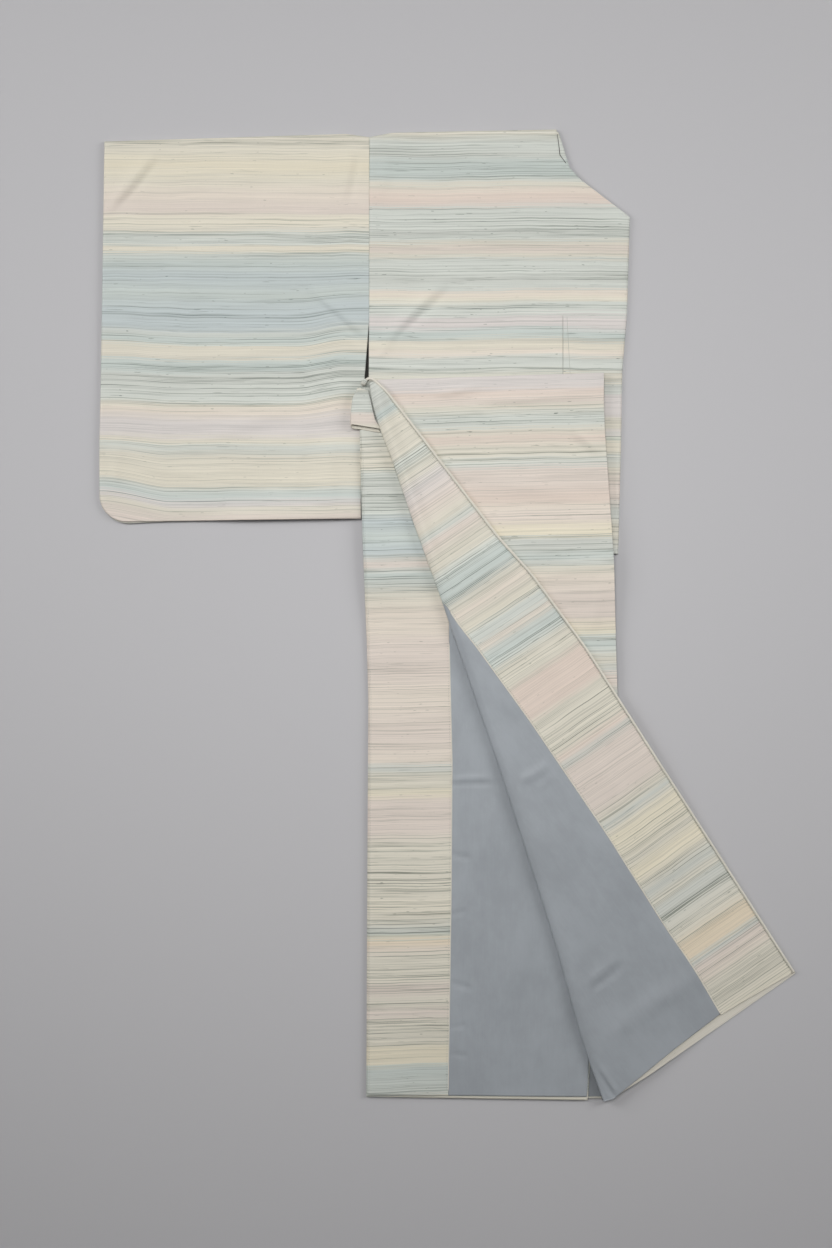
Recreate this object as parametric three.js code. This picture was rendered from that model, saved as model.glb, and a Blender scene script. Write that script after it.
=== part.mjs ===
// A two-piece kimono of striped slub cloth, folded flat: a short sleeved top, folded in half along the
// centre back, and a lined wrap skirt, folded in quarters and laid over the top's lower half. The
// skirt's uppermost quarter (the page) is turned back along a diagonal into a flap that shows its
// facing and lining.
//
// Millimetres, +X to the wearer's seam side, +Y towards the shoulders, +Z up from the surface it lies on.
// Each piece is a cloth wall, or the stack of hidden layers under one, built from a grid of rows.
import * as THREE from 'three';

// ---------- driving sizes ----------

const CLOTH = 1.0; // one wall of cloth
const GAP = 0.3; // space between pieces that touch or are sewn together
const EDGE_ROUND = 0.35; // how far a wall's faces stop short of its rounded edge

const SLEEVE_CORNER = 34; // radius of the sleeve's lower outer corner
const SHOULDER_DIP = 5; // the sleeve seam dips this far below the shoulder fold
const SHOULDER_DIP_REACH = 30; // and is level again this far to each side
const TOP_HEM_Y = 76.4; // the top's hem
const NECK_STEP_Y = 382; // upper end of the pieced-in panel
const INSERT_SEAM_X = 146.4; // its long seam

const BED_SLOPE = 115; // the skirt comes down from the top's hem to the surface over this length
const FLAP_SLOPE = 150; // the flap comes down from the page's edge to the surface over this length
const FLAP_SLOPE_START = 3;
const FOLD_LEG = 8; // how far facing and lining run on under the page, past the diagonal fold

// Heights of the layers of the top, above the surface.
const TOP_STACK = { layers: 4.0, wall: 4.3 };
const TOP_THICKNESS = TOP_STACK.wall + 1.2;

// Heights of the undersides of the skirt's layers, above whatever the skirt lies on.
const SKIRT = {
  layers: 0,
  leftShell: 2.9,
  leftInside: 4.2,
  pageLining: 5.5,
  page: 6.8,
  flap: 8.1,
  flapInside: 9.4,
};
const HIDDEN_QUARTERS = SKIRT.leftShell - GAP; // thickness of the two hidden quarters
const FOLD_CENTRE = (SKIRT.page + SKIRT.flap + CLOTH) / 2;
const SHELL_FOLD_RADIUS = (SKIRT.flap - SKIRT.page) / 2;
const INSIDE_FOLD_RADIUS = (SKIRT.flapInside - SKIRT.pageLining) / 2;

const TIE = { low: 5.5, high: 8.0, wall: 1.0 }; // the tie end's two plies, above what the skirt lies on
const KNOT = { radius: 3.6, length: 12, x: -106.0, y: 295.5, turn: -0.35 };

// ---------- outlines: short tables, one row for each bend ----------

const columns = (...names) => (...values) =>
  Object.fromEntries(names.map((name, k) => [name, values[k]]));
const span = columns('leftX', 'leftY', 'rightX', 'rightY', 'steps');
const at = columns('y', 'x');
const along = columns('e', 'd');

const SLEEVE_ROWS = [
  span(-436.3, 603.4, -99.9, 614.0, 8),
  span(-439.5, 388.3, -100.2, 375.5, 4),
  span(-441.4, 273.7, -106.0, 301.7, 2),
  span(-442.7, 222.8, -109.8, 235.5, 3),
  span(-442.7, 154.0, -110.4, 150.0, 1),
];
const SLEEVE_HEM = { y: 119.5, leftX: -442.7, rightX: -110.4, rightY: 123.5 };
const UNDER_SLEEVE = { edgeInset: 1.6, below: 2, belowRight: -8 }; // peeps out below the hem at the corner

const BACK_ROWS = [
  span(-99.6, 614.0, 137.8, 618.7, 1),
  span(-99.6, 602.0, 139.6, 604.7, 1),
  span(-99.6, 583.0, 142.0, 585.6, 1),
  span(-99.6, 571.6, 150.8, 574.0, 1),
  span(-99.6, 551.0, 169.6, 553.8, 2),
  span(-99.6, 506.0, 231.6, 506.9, 4),
  span(-99.9, NECK_STEP_Y + 0.3, 227.9, NECK_STEP_Y + 0.3, 1),
  span(-99.9, NECK_STEP_Y, INSERT_SEAM_X - GAP, NECK_STEP_Y, 3),
  span(-100.2, 310.6, INSERT_SEAM_X - GAP, 310.6, 8),
  span(-100.2, TOP_HEM_Y, INSERT_SEAM_X - GAP, TOP_HEM_Y, 0),
];
const INSERT_ROWS = [
  span(INSERT_SEAM_X, NECK_STEP_Y - GAP, 227.9, NECK_STEP_Y - GAP, 2),
  span(INSERT_SEAM_X, 310.6, 222.0, 310.6, 2),
  span(INSERT_SEAM_X, 222.8, 220.5, 222.8, 3),
  span(INSERT_SEAM_X, TOP_HEM_Y, 216.7, TOP_HEM_Y + 2.5, 0),
];
const TOP_LAYER_ROWS = [
  span(-98.0, 611.5, 136.0, 616.5, 1),
  span(-98.0, 602.0, 134.0, 603.0, 1),
  span(-98.0, 583.0, 137.0, 583.5, 1),
  span(-98.0, 568.0, 145.0, 568.0, 1),
  span(-98.0, 551.0, 167.0, 552.0, 2),
  span(-98.0, 506.0, 229.6, 506.2, 4),
  span(-98.2, 310.6, 220.2, 310.6, 3),
  span(-98.4, 222.8, 218.6, 222.8, 3),
  span(-98.4, TOP_HEM_Y + 2, 214.7, TOP_HEM_Y + 4, 0),
];
const COLLAR_ROWS = [
  span(138.6, 615.0, 140.6, 614.6, 2),
  span(136.6, 602.5, 144.6, 603.0, 2),
  span(140.5, 583.5, 150.6, 583.4, 2),
  span(147.2, 572.0, 154.6, 570.6, 0),
];

const SKIRT_TOP = { leftX: -109.0, leftY: 297.5, rightX: 186.0, rightY: 306.5 };
const SKIRT_HEM_Y = -616.0;
const LINING_HEM_Y = -609.3;
const PAGE_LINING_END_Y = -545;
const SKIRT_LEFT = [
  at(297.5, -109.0), at(234.2, -111.7), at(184.6, -110.4), at(95.5, -107.9),
  at(-31.8, -102.8), at(-108.2, -100.6), at(-235.5, -101.5), at(-616.1, -103.4),
];
const PAGE_RIGHT = [
  at(308.1, 197.6), at(268.6, 197.6), at(235.5, 198.9), at(70.0, 210.4),
  at(-101.8, 215.5), at(-235.5, 214.2), at(-426.5, 207.8), at(-618.7, 198.9),
];
const QUARTER_RIGHT = [
  at(308.1, 186.0), at(70.0, 196.0), at(-101.8, 200.0), at(-426.5, 188.0), at(-616.1, 177.6),
];
const FACING_RIGHT = [
  at(308.1, 0.0), at(-31.8, 1.6), at(-184.6, 5.4), at(-362.8, 4.1), at(-616.1, 0.2),
];

// The diagonal fold. e runs down along it from the waist corner, d is the distance from it.
const FOLD_START = new THREE.Vector2(-100.2, 297.9);
const FOLD_END = new THREE.Vector2(198.3, -618.7);
const FOLD_ALONG = FOLD_END.clone().sub(FOLD_START).normalize();
const FOLD_ACROSS = new THREE.Vector2(-FOLD_ALONG.y, FOLD_ALONG.x);
const FOLD_BOW = [
  along(0, 0), along(28, -5.0), along(66, -5.6), along(103, -3.2), along(190, -2.0), along(283, 1.2),
  along(400, 3.2), along(509, 5.2), along(700, 4.4), along(765, 3.4), along(856, -1.5), along(906, -1.8),
  along(964, 0),
];
// Distances from the straight line of the fold to the edges of the page and of the flap.
const PAGE_EDGE = [
  along(0, 3), along(82.6, 286.4), along(120.1, 274.2), along(152, 265.1), along(312.9, 224.8),
  along(477.8, 176.4), along(604.5, 133.8), along(784.1, 68.6), along(964.1, 0.6),
];
const FLAP_EDGE = [
  along(0, 4), along(3.5, 10.9), along(28.4, 21.5), along(87.5, 42.5), along(190.3, 78.6),
  along(240.1, 95.9), along(295.1, 120.8), along(404.7, 157.4), along(571.5, 200.8),
  along(700.5, 235.1), along(884.1, 283.1), along(915.4, 179.8), along(947.6, 68.9), along(964.1, 0.6),
];
const FACING_INNER = [
  along(305, 6.2), along(330.4, 12.5), along(358.5, 23.8), along(412.3, 41.1), along(476.6, 61.7),
  along(637.7, 108.3), along(780.8, 144.7), along(838.6, 162.0), along(905, 176.5), along(930, 182),
];
const FACING_HEM = [along(881.7, 281.8), along(904.4, 177.1)];
const LINING_HEM = [along(903, 177.0), along(926, 109.4), along(964, 8.0)];
const FLAP_PIPING = 1.6; // the shell's edge shows this far outside the facing
const SEAM_WRAP = { from: 272, to: 305 }; // where the facing's seam passes round the fold

const FOLD_ROWS = [
  4, 12, 24, 40, 60, 82.6, 105, 130, 160, 195, 220, 238, 255, 272, 279, 285, 290, 294, 298, 302, 305,
  312, 322, 338, 355, 372, 390, 410, 430, 460, 500, 535, 571.5, 612, 655, 700, 750, 800, 845, 881.7, 884.1,
  892, 898, 903.5, 908, 914, 922, 931, 940, 949, 956, 962,
];

// The largest soft folds of the two upper walls: ridges, each with its middle, direction and size.
const ridge = columns('x', 'y', 'angle', 'length', 'width', 'height');
const SLEEVE_FOLDS = [
  ridge(-140, 387, -43, 62, 15, 1.3),
  ridge(-401, 553, 48, 60, 16, 1.1),
  ridge(-190, 212, 84, 80, 18, 0.9),
  ridge(-128, 560, 78, 40, 14, 0.8),
];
const BACK_FOLDS = [
  ridge(-44, 388, 44, 70, 15, 1.3),
  ridge(120, 470, -12, 60, 16, 0.8),
];

// ---------- small helpers ----------

const clamp = (value, low, high) => Math.min(high, Math.max(low, value));
const mix = (a, b, t) => a + (b - a) * t;
const ease = (t) => {
  const s = clamp(t, 0, 1);
  return s * s * (3 - 2 * s);
};

// Reads a two-column table at a place between its rows.
function tableReader(table, keyName, valueName) {
  const rows = [...table].sort((a, b) => a[keyName] - b[keyName]);
  return (key) => {
    const next = rows.findIndex((row) => row[keyName] >= key);
    if (next === 0) return rows[0][valueName];
    if (next < 0) return rows[rows.length - 1][valueName];
    const a = rows[next - 1];
    const b = rows[next];
    return mix(a[valueName], b[valueName], (key - a[keyName]) / (b[keyName] - a[keyName]));
  };
}

const skirtLeft = tableReader(SKIRT_LEFT, 'y', 'x');
const pageRight = tableReader(PAGE_RIGHT, 'y', 'x');
const quarterRight = tableReader(QUARTER_RIGHT, 'y', 'x');
const facingRight = tableReader(FACING_RIGHT, 'y', 'x');
const foldBow = tableReader(FOLD_BOW, 'e', 'd');
const pageEdge = tableReader(PAGE_EDGE, 'e', 'd');
const flapEdge = tableReader(FLAP_EDGE, 'e', 'd');
const facingInner = tableReader(FACING_INNER, 'e', 'd');
const facingHem = tableReader(FACING_HEM, 'e', 'd');
const liningHem = tableReader(LINING_HEM, 'e', 'd');

// Height of what the skirt lies on: the top, down to its hem, and then the surface.
const bed = (x, y) => (TOP_THICKNESS + GAP) * ease((y - TOP_HEM_Y + BED_SLOPE) / BED_SLOPE);

// Height of the flap's underside: on the page, then sloping down beside it to the surface.
const flapBed = (x, y) => {
  const past = (x - pageRight(y) - FLAP_SLOPE_START) / FLAP_SLOPE;
  return (bed(x, y) + SKIRT.flap) * (1 - ease(past));
};

// Height that the soft folds of a table add at a point.
const foldLift = (table) => (x, y) => table.reduce((sum, fold) => {
  const angle = THREE.MathUtils.degToRad(fold.angle);
  const lengthwise = (x - fold.x) * Math.cos(angle) + (y - fold.y) * Math.sin(angle);
  const crosswise = (y - fold.y) * Math.cos(angle) - (x - fold.x) * Math.sin(angle);
  const fade = ease(2 * (1 - Math.abs(lengthwise) / fold.length));
  return sum + fold.height * fade * Math.exp(-((crosswise / fold.width) ** 2));
}, 0);

// ---------- grids ----------

// Rows of points between a left and a right edge, filled in between the table's rows.
function rowGrid(rows, columnCount) {
  const grid = [];
  rows.forEach((row, k) => {
    const next = rows[k + 1] ?? row;
    for (let step = 0; step < Math.max(row.steps, k === rows.length - 1 ? 1 : 0); step += 1) {
      const t = row.steps ? step / row.steps : 0;
      const left = [mix(row.leftX, next.leftX, t), mix(row.leftY, next.leftY, t)];
      const right = [mix(row.rightX, next.rightX, t), mix(row.rightY, next.rightY, t)];
      grid.push(Array.from({ length: columnCount + 1 }, (_, j) => {
        const s = j / columnCount;
        return [mix(left[0], right[0], s), mix(left[1], right[1], s)];
      }));
    }
  });
  return grid;
}

// Rows at chosen heights, from one edge's reader to another's, between a sloping top and a level hem.
function panelGrid(leftAt, rightAt, topLeftY, topRightY, hemY, stops, columnCount) {
  return stops.map((stop) => {
    const leftY = mix(topLeftY, hemY, stop);
    const rightY = mix(topRightY, hemY, stop);
    return Array.from({ length: columnCount + 1 }, (_, j) => {
      const s = j / columnCount;
      return [mix(leftAt(leftY), rightAt(rightY), s), mix(leftY, rightY, s)];
    });
  });
}

// Raises a flat grid to a lower and an upper surface.
function raise(grid, lowAt, highAt) {
  const lift = (heightAt) =>
    grid.map((row) => row.map(([x, y]) => new THREE.Vector3(x, y, heightAt(x, y))));
  return { low: lift(lowAt), high: lift(highAt) };
}

// ---------- closed solids ----------

// Closes a lower and an upper grid into one solid whose rim is rounded once for each layer of cloth in it.
function closedSheet({ low, high }, layers = 1, round = EDGE_ROUND) {
  const rowCount = low.length;
  const columnCount = low[0].length;
  const middle = (i, j) => low[i][j].clone().add(high[i][j]).multiplyScalar(0.5);
  const rim = [];
  for (let j = 0; j < columnCount; j += 1) rim.push([0, j]);
  for (let i = 1; i < rowCount; i += 1) rim.push([i, columnCount - 1]);
  for (let j = columnCount - 2; j >= 0; j -= 1) rim.push([rowCount - 1, j]);
  for (let i = rowCount - 2; i > 0; i -= 1) rim.push([i, 0]);

  const outward = rim.map(([i, j]) => {
    const here = middle(i, j);
    const out = new THREE.Vector3();
    if (i === 0) out.add(here.clone().sub(middle(1, j)).normalize());
    if (i === rowCount - 1) out.add(here.clone().sub(middle(i - 1, j)).normalize());
    if (j === 0) out.add(here.clone().sub(middle(i, 1)).normalize());
    if (j === columnCount - 1) out.add(here.clone().sub(middle(i, j - 1)).normalize());
    return out.multiplyScalar(round);
  });

  const points = [];
  const push = (point) => points.push(point) - 1;
  const face = (grid) => {
    const ids = grid.map((row) => row.map((point) => push(point.clone())));
    rim.forEach(([i, j], k) => points[ids[i][j]].sub(outward[k]));
    return ids;
  };
  const lowIds = face(low);
  const highIds = face(high);

  const triangles = [];
  for (let i = 0; i + 1 < rowCount; i += 1) {
    for (let j = 0; j + 1 < columnCount; j += 1) {
      const [a, b, c, d] = [highIds[i][j], highIds[i][j + 1], highIds[i + 1][j + 1], highIds[i + 1][j]];
      triangles.push(a, d, c, a, c, b);
      const [e, f, g, h] = [lowIds[i][j], lowIds[i][j + 1], lowIds[i + 1][j + 1], lowIds[i + 1][j]];
      triangles.push(e, g, h, e, f, g);
    }
  }

  // Rings from the lower face to the upper one: out on a layer's edge, in between two layers.
  const ringCount = 2 * layers;
  const rings = [rim.map(([i, j]) => lowIds[i][j])];
  for (let k = 1; k < ringCount; k += 1) {
    rings.push(rim.map(([i, j], r) => {
      const point = low[i][j].clone().lerp(high[i][j], k / ringCount);
      return push(k % 2 ? point : point.sub(outward[r]));
    }));
  }
  rings.push(rim.map(([i, j]) => highIds[i][j]));
  for (let k = 0; k < ringCount; k += 1) {
    for (let r = 0; r < rim.length; r += 1) {
      const s = (r + 1) % rim.length;
      const [a, b, c, d] = [rings[k][r], rings[k][s], rings[k + 1][s], rings[k + 1][r]];
      triangles.push(a, c, b, a, d, c);
    }
  }
  return solid(points, triangles);
}

// Makes the geometry, with its faces turned outwards.
function solid(points, triangles) {
  let volume = 0;
  for (let k = 0; k < triangles.length; k += 3) {
    const [a, b, c] = [0, 1, 2].map((n) => points[triangles[k + n]]);
    volume += a.dot(b.clone().cross(c));
  }
  if (volume < 0) {
    for (let k = 0; k < triangles.length; k += 3) {
      [triangles[k], triangles[k + 1]] = [triangles[k + 1], triangles[k]];
    }
  }
  const geometry = new THREE.BufferGeometry();
  const flat = points.flatMap((point) => point.toArray());
  geometry.setAttribute('position', new THREE.Float32BufferAttribute(flat, 3));
  geometry.setIndex(triangles);
  geometry.computeVertexNormals();
  return geometry;
}

// ---------- the diagonal fold ----------

// The point of a cloth that turns round the fold. w is the length along the cloth from the fold's outermost
// line: positive onto the flap, negative under the page. Gives the cloth's lower and upper face there.
function aroundFold(e, w, radius, lowUnderPage) {
  const centreD = foldBow(e) + INSIDE_FOLD_RADIUS + CLOTH / 2;
  const quarterTurn = (Math.PI * radius) / 2;
  const turn = clamp(w, -quarterTurn, quarterTurn) / radius;
  const past = Math.abs(w) - quarterTurn;
  const d = past > 0 ? centreD + past : centreD - radius * Math.cos(turn);
  const onPlane = (distance) => FOLD_START.clone()
    .addScaledVector(FOLD_ALONG, e).addScaledVector(FOLD_ACROSS, distance);
  const place = onPlane(d);
  if (w > quarterTurn) {
    const low = flapBed(place.x, place.y) + FOLD_CENTRE - SKIRT.flap + radius - CLOTH / 2;
    return [new THREE.Vector3(place.x, place.y, low), new THREE.Vector3(place.x, place.y, low + CLOTH)];
  }
  if (w < -quarterTurn) {
    const low = bed(place.x, place.y) + lowUnderPage;
    return [new THREE.Vector3(place.x, place.y, low + CLOTH), new THREE.Vector3(place.x, place.y, low)];
  }
  return [-CLOTH / 2, CLOTH / 2].map((offset) => {
    const spot = onPlane(centreD - (radius + offset) * Math.cos(turn));
    const height = bed(place.x, place.y) + FOLD_CENTRE + (radius + offset) * Math.sin(turn);
    return new THREE.Vector3(spot.x, spot.y, height);
  });
}

function foldedSheet(rows, lengthsAt, radius, lowUnderPage) {
  const low = [];
  const high = [];
  rows.forEach((e) => {
    const pairs = lengthsAt(e).map((w) => aroundFold(e, w, radius, lowUnderPage));
    low.push(pairs.map((pair) => pair[0]));
    high.push(pairs.map((pair) => pair[1]));
  });
  return closedSheet({ low, high });
}

// Lengths from the flap's outer edge to the turn, round it in four steps, and on under the page.
function turnLengths(flapEnd, pageEnd, radius, flapSteps, pageSteps) {
  const quarterTurn = (Math.PI * radius) / 2;
  const lengths = [];
  for (let k = 0; k < flapSteps; k += 1) lengths.push(mix(flapEnd, quarterTurn, k / flapSteps));
  for (const part of [1, 0.5, 0, -0.5, -1]) lengths.push(part * quarterTurn);
  for (let k = 1; k <= pageSteps; k += 1) lengths.push(mix(-quarterTurn, pageEnd, k / pageSteps));
  return lengths;
}

// Turns a distance from the fold's straight line into a length along the cloth.
const lengthTo = (e, d, radius) => d - foldBow(e) - INSIDE_FOLD_RADIUS - CLOTH / 2 + (Math.PI * radius) / 2;

const insideQuarterTurn = (Math.PI * INSIDE_FOLD_RADIUS) / 2;
const insideEnd = -insideQuarterTurn - FOLD_LEG;
const MIN_LEG = 1.5;
const SQUEEZE = 0.25;

// Where the facing's inner seam lies along the cloth.
function seamLength(e) {
  const flat = (place) => lengthTo(place, facingInner(place), INSIDE_FOLD_RADIUS);
  if (e >= SEAM_WRAP.to) return flat(e);
  const part = clamp((e - SEAM_WRAP.from) / (SEAM_WRAP.to - SEAM_WRAP.from), 0, 1);
  return mix(insideEnd, flat(SEAM_WRAP.to), part);
}

// ---------- the pieces ----------

const materials = {
  silk: new THREE.MeshStandardMaterial({ color: 0xdad6c8, roughness: 0.8, metalness: 0 }),
  silkShade: new THREE.MeshStandardMaterial({ color: 0xc9cdc6, roughness: 0.8, metalness: 0 }),
  lining: new THREE.MeshStandardMaterial({ color: 0x8f959b, roughness: 0.5, metalness: 0 }),
  layers: new THREE.MeshStandardMaterial({ color: 0xcfcbbb, roughness: 0.85, metalness: 0 }),
};

function piece(name, geometry, material) {
  const mesh = new THREE.Mesh(geometry, material);
  mesh.name = name;
  return mesh;
}

// Rows for a sleeve, with its outer lower corner as an arc down to the hem.
function sleeveRows(inset, below, belowRight) {
  const hemY = SLEEVE_HEM.y - below;
  const cornerX = SLEEVE_HEM.leftX + inset + SLEEVE_CORNER;
  const cornerY = hemY + SLEEVE_CORNER;
  const rows = SLEEVE_ROWS.map((row) => ({ ...row, leftX: row.leftX + inset, rightX: row.rightX - inset }));
  rows[0].leftY -= inset;
  rows[0].rightY -= inset;
  const lastRightY = SLEEVE_ROWS[SLEEVE_ROWS.length - 1].rightY;
  const arcSteps = 5;
  for (let k = 1; k <= arcSteps; k += 1) {
    const angle = (k / arcSteps) * (Math.PI / 2);
    rows.push({
      leftX: cornerX - SLEEVE_CORNER * Math.cos(angle),
      leftY: cornerY - SLEEVE_CORNER * Math.sin(angle),
      rightX: SLEEVE_HEM.rightX - inset,
      rightY: mix(lastRightY, SLEEVE_HEM.rightY - belowRight, Math.sin(angle)),
      steps: k === arcSteps ? 0 : 1,
    });
  }
  return rows;
}

// Lowers the shoulder fold to a shallow notch at the sleeve seam.
function dipAtSeam(grid) {
  const topY = grid[0][0][1];
  return grid.map((row) => row.map(([x, y]) => {
    const near = clamp(1 - Math.abs(x + 100) / SHOULDER_DIP_REACH, 0, 1);
    const high = clamp((y - topY + 40) / 40, 0, 1);
    return [x, y - SHOULDER_DIP * near * high];
  }));
}

// One of the top's upper walls, with its soft folds.
function topWall(rows, columnCount, folds, round) {
  const lift = foldLift(folds);
  const grid = dipAtSeam(rowGrid(rows, columnCount));
  const underside = (x, y) => TOP_STACK.wall + lift(x, y);
  const topside = (x, y) => TOP_THICKNESS + lift(x, y);
  return closedSheet(raise(grid, underside, topside), 1, round);
}

function sleeveUpperPanel() {
  return topWall(sleeveRows(0, 0, 0), 13, SLEEVE_FOLDS, EDGE_ROUND);
}

function sleeveLowerLayers() {
  const rows = sleeveRows(UNDER_SLEEVE.edgeInset, UNDER_SLEEVE.below, UNDER_SLEEVE.belowRight);
  return closedSheet(raise(dipAtSeam(rowGrid(rows, 5)), () => 0, () => TOP_STACK.layers), 3, 0.8);
}

function topBackPanel() {
  return topWall(BACK_ROWS, 12, BACK_FOLDS, 0.1);
}

function topBackInsert() {
  return closedSheet(raise(rowGrid(INSERT_ROWS, 3), () => TOP_STACK.wall, () => TOP_THICKNESS), 1, 0.1);
}

function topLowerLayers() {
  return closedSheet(raise(dipAtSeam(rowGrid(TOP_LAYER_ROWS, 5)), () => 0, () => TOP_STACK.layers), 3, 0.8);
}

function collarEdge() {
  return closedSheet(raise(rowGrid(COLLAR_ROWS, 2), () => 0, () => TOP_STACK.layers), 2, 0.6);
}

// The skirt's long panels have close rows where they come down from the top's hem.
function skirtStops(hemY) {
  const length = SKIRT_TOP.leftY - hemY;
  const slopeTop = (SKIRT_TOP.leftY - TOP_HEM_Y - 8) / length;
  const slopeEnd = (SKIRT_TOP.leftY - TOP_HEM_Y + BED_SLOPE + 8) / length;
  const stops = [];
  for (let k = 0; k < 5; k += 1) stops.push((slopeTop * k) / 5);
  for (let k = 0; k < 12; k += 1) stops.push(mix(slopeTop, slopeEnd, k / 12));
  for (let k = 0; k <= 8; k += 1) stops.push(mix(slopeEnd, 1, k / 8));
  return stops;
}

// The waist edge rises a little to the right.
const skirtTopAt = (x) =>
  mix(SKIRT_TOP.leftY, SKIRT_TOP.rightY, (x - SKIRT_TOP.leftX) / (SKIRT_TOP.rightX - SKIRT_TOP.leftX));

function skirtPanel(leftAt, rightAt, hemY, columnCount, lowAt, thickness, layers = 1, round = EDGE_ROUND) {
  const [leftY, rightY] = [leftAt, rightAt].map((edge) => skirtTopAt(edge(SKIRT_TOP.rightY)));
  const grid = panelGrid(leftAt, rightAt, leftY, rightY, hemY, skirtStops(hemY), columnCount);
  return closedSheet(raise(grid, lowAt, (x, y) => lowAt(x, y) + thickness), layers, round);
}

const overBed = (height) => (x, y) => bed(x, y) + height;

function skirtLowerLayers() {
  const left = (y) => skirtLeft(y) + 3;
  const right = (y) => pageRight(y) - 1.5;
  return skirtPanel(left, right, SKIRT_HEM_Y + 2, 4, overBed(SKIRT.layers), HIDDEN_QUARTERS, 2, 0.7);
}

function skirtLeftShell() {
  return skirtPanel(skirtLeft, quarterRight, SKIRT_HEM_Y, 4, overBed(SKIRT.leftShell), CLOTH);
}

function skirtLeftFacing() {
  const left = (y) => skirtLeft(y) + FLAP_PIPING;
  return skirtPanel(left, facingRight, LINING_HEM_Y, 4, overBed(SKIRT.leftInside), CLOTH);
}

function skirtLeftLining() {
  const left = (y) => facingRight(y) + GAP;
  const right = (y) => quarterRight(y) - 1.2;
  return skirtPanel(left, right, LINING_HEM_Y - 0.6, 4, overBed(SKIRT.leftInside), CLOTH);
}

// The page's lining lies between the page and the quarter beneath, from the turned-in ends to the
// right edge.
function skirtPageLining() {
  const foldAt = (y) => {
    const e = (FOLD_START.y - y) / -FOLD_ALONG.y;
    return FOLD_START.x + FOLD_ALONG.x * e + foldBow(e) / FOLD_ACROSS.x;
  };
  const turnedIn = (2 * INSIDE_FOLD_RADIUS + FOLD_LEG + 3 * GAP) / FOLD_ACROSS.x + 1;
  const left = (y) => foldAt(y) + turnedIn;
  const right = (y) => pageRight(y) - 1.8;
  return skirtPanel(left, right, PAGE_LINING_END_Y, 4, overBed(SKIRT.pageLining), CLOTH);
}

function skirtPageShell() {
  const radius = SHELL_FOLD_RADIUS;
  const lengths = (e) => {
    const leg = (Math.PI * radius) / 2 + MIN_LEG;
    const flapEnd = Math.max(lengthTo(e, flapEdge(e), radius), leg);
    const pageEnd = -Math.max(lengthTo(e, pageEdge(e), radius), leg);
    return turnLengths(flapEnd, pageEnd, radius, 10, 3);
  };
  const rows = FOLD_ROWS.filter((e, k) => e <= SEAM_WRAP.from || e >= SEAM_WRAP.to || k % 2);
  return foldedSheet(rows, lengths, radius, SKIRT.page);
}

function skirtFlapFacing() {
  const rows = FOLD_ROWS.filter((e) => e < FACING_HEM[1].e);
  const lengths = (e) => {
    const seam = seamLength(e) + GAP / 2;
    const edge = e < FACING_HEM[0].e ? flapEdge(e) - FLAP_PIPING : facingHem(e);
    const outer = Math.max(lengthTo(e, edge, INSIDE_FOLD_RADIUS), seam + MIN_LEG + 1);
    const turned = turnLengths(outer, insideEnd, INSIDE_FOLD_RADIUS, 3, 1);
    const last = turned.length - 1;
    const clear = ease((e - SEAM_WRAP.to) / 60);
    return turned.map((w, k) => {
      const squeezed = Math.max(w, seam + SQUEEZE * (last - k));
      return mix(squeezed, mix(outer, seam, k / last), clear);
    });
  };
  return foldedSheet(rows, lengths, INSIDE_FOLD_RADIUS, SKIRT.pageLining);
}

function skirtFlapLining() {
  const rows = FOLD_ROWS.filter((e) => e >= 279);
  const lengths = (e) => {
    const hem = lengthTo(e, liningHem(e), INSIDE_FOLD_RADIUS);
    const seam = Math.min(seamLength(e) - GAP / 2, e > LINING_HEM[0].e ? hem : Infinity);
    const turned = turnLengths(seam, insideEnd, INSIDE_FOLD_RADIUS, 5, 1);
    return turned.map((w, k) => Math.min(w, seam - SQUEEZE * k));
  };
  return foldedSheet(rows, lengths, INSIDE_FOLD_RADIUS, SKIRT.pageLining);
}

// The tie end is a flat tube: two plies joined round the left edge, open at the lower end.
function waistTieEnd() {
  const rows = [
    span(-114.5, 289.0, -102.6, 287.0, 2),
    span(-121.3, 275.0, -99.6, 273.0, 2),
    span(-123.2, 253.3, -93.4, 251.0, 1),
    span(-123.4, 243.1, -91.0, 240.5, 1),
    span(-123.2, 236.0, -89.0, 233.5, 0),
  ];
  const radius = (TIE.high - TIE.low) / 2;
  const low = [];
  const high = [];
  rowGrid(rows, 1).forEach(([[leftX, leftY], [rightX, rightY]]) => {
    const base = bed(leftX, leftY) + TIE.low + TIE.wall / 2;
    const turn = Array.from({ length: 7 }, (_, k) => -Math.PI / 2 - (k / 6) * Math.PI);
    const section = [
      [1, -Math.PI / 2], [0.5, -Math.PI / 2], ...turn.map((angle) => [0, angle]),
      [0.5, (-3 * Math.PI) / 2], [1, (-3 * Math.PI) / 2],
    ];
    const wall = (offset) => section.map(([reach, angle]) => {
      const startX = leftX + radius + TIE.wall / 2;
      const x = mix(startX, rightX, reach) + (radius + offset) * Math.cos(angle);
      const y = mix(leftY, rightY, clamp((x - leftX) / (rightX - leftX), 0, 1));
      return new THREE.Vector3(x, y, base + radius + (radius + offset) * Math.sin(angle));
    });
    low.push(wall(-TIE.wall / 2));
    high.push(wall(TIE.wall / 2));
  });
  return closedSheet({ low, high });
}

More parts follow.
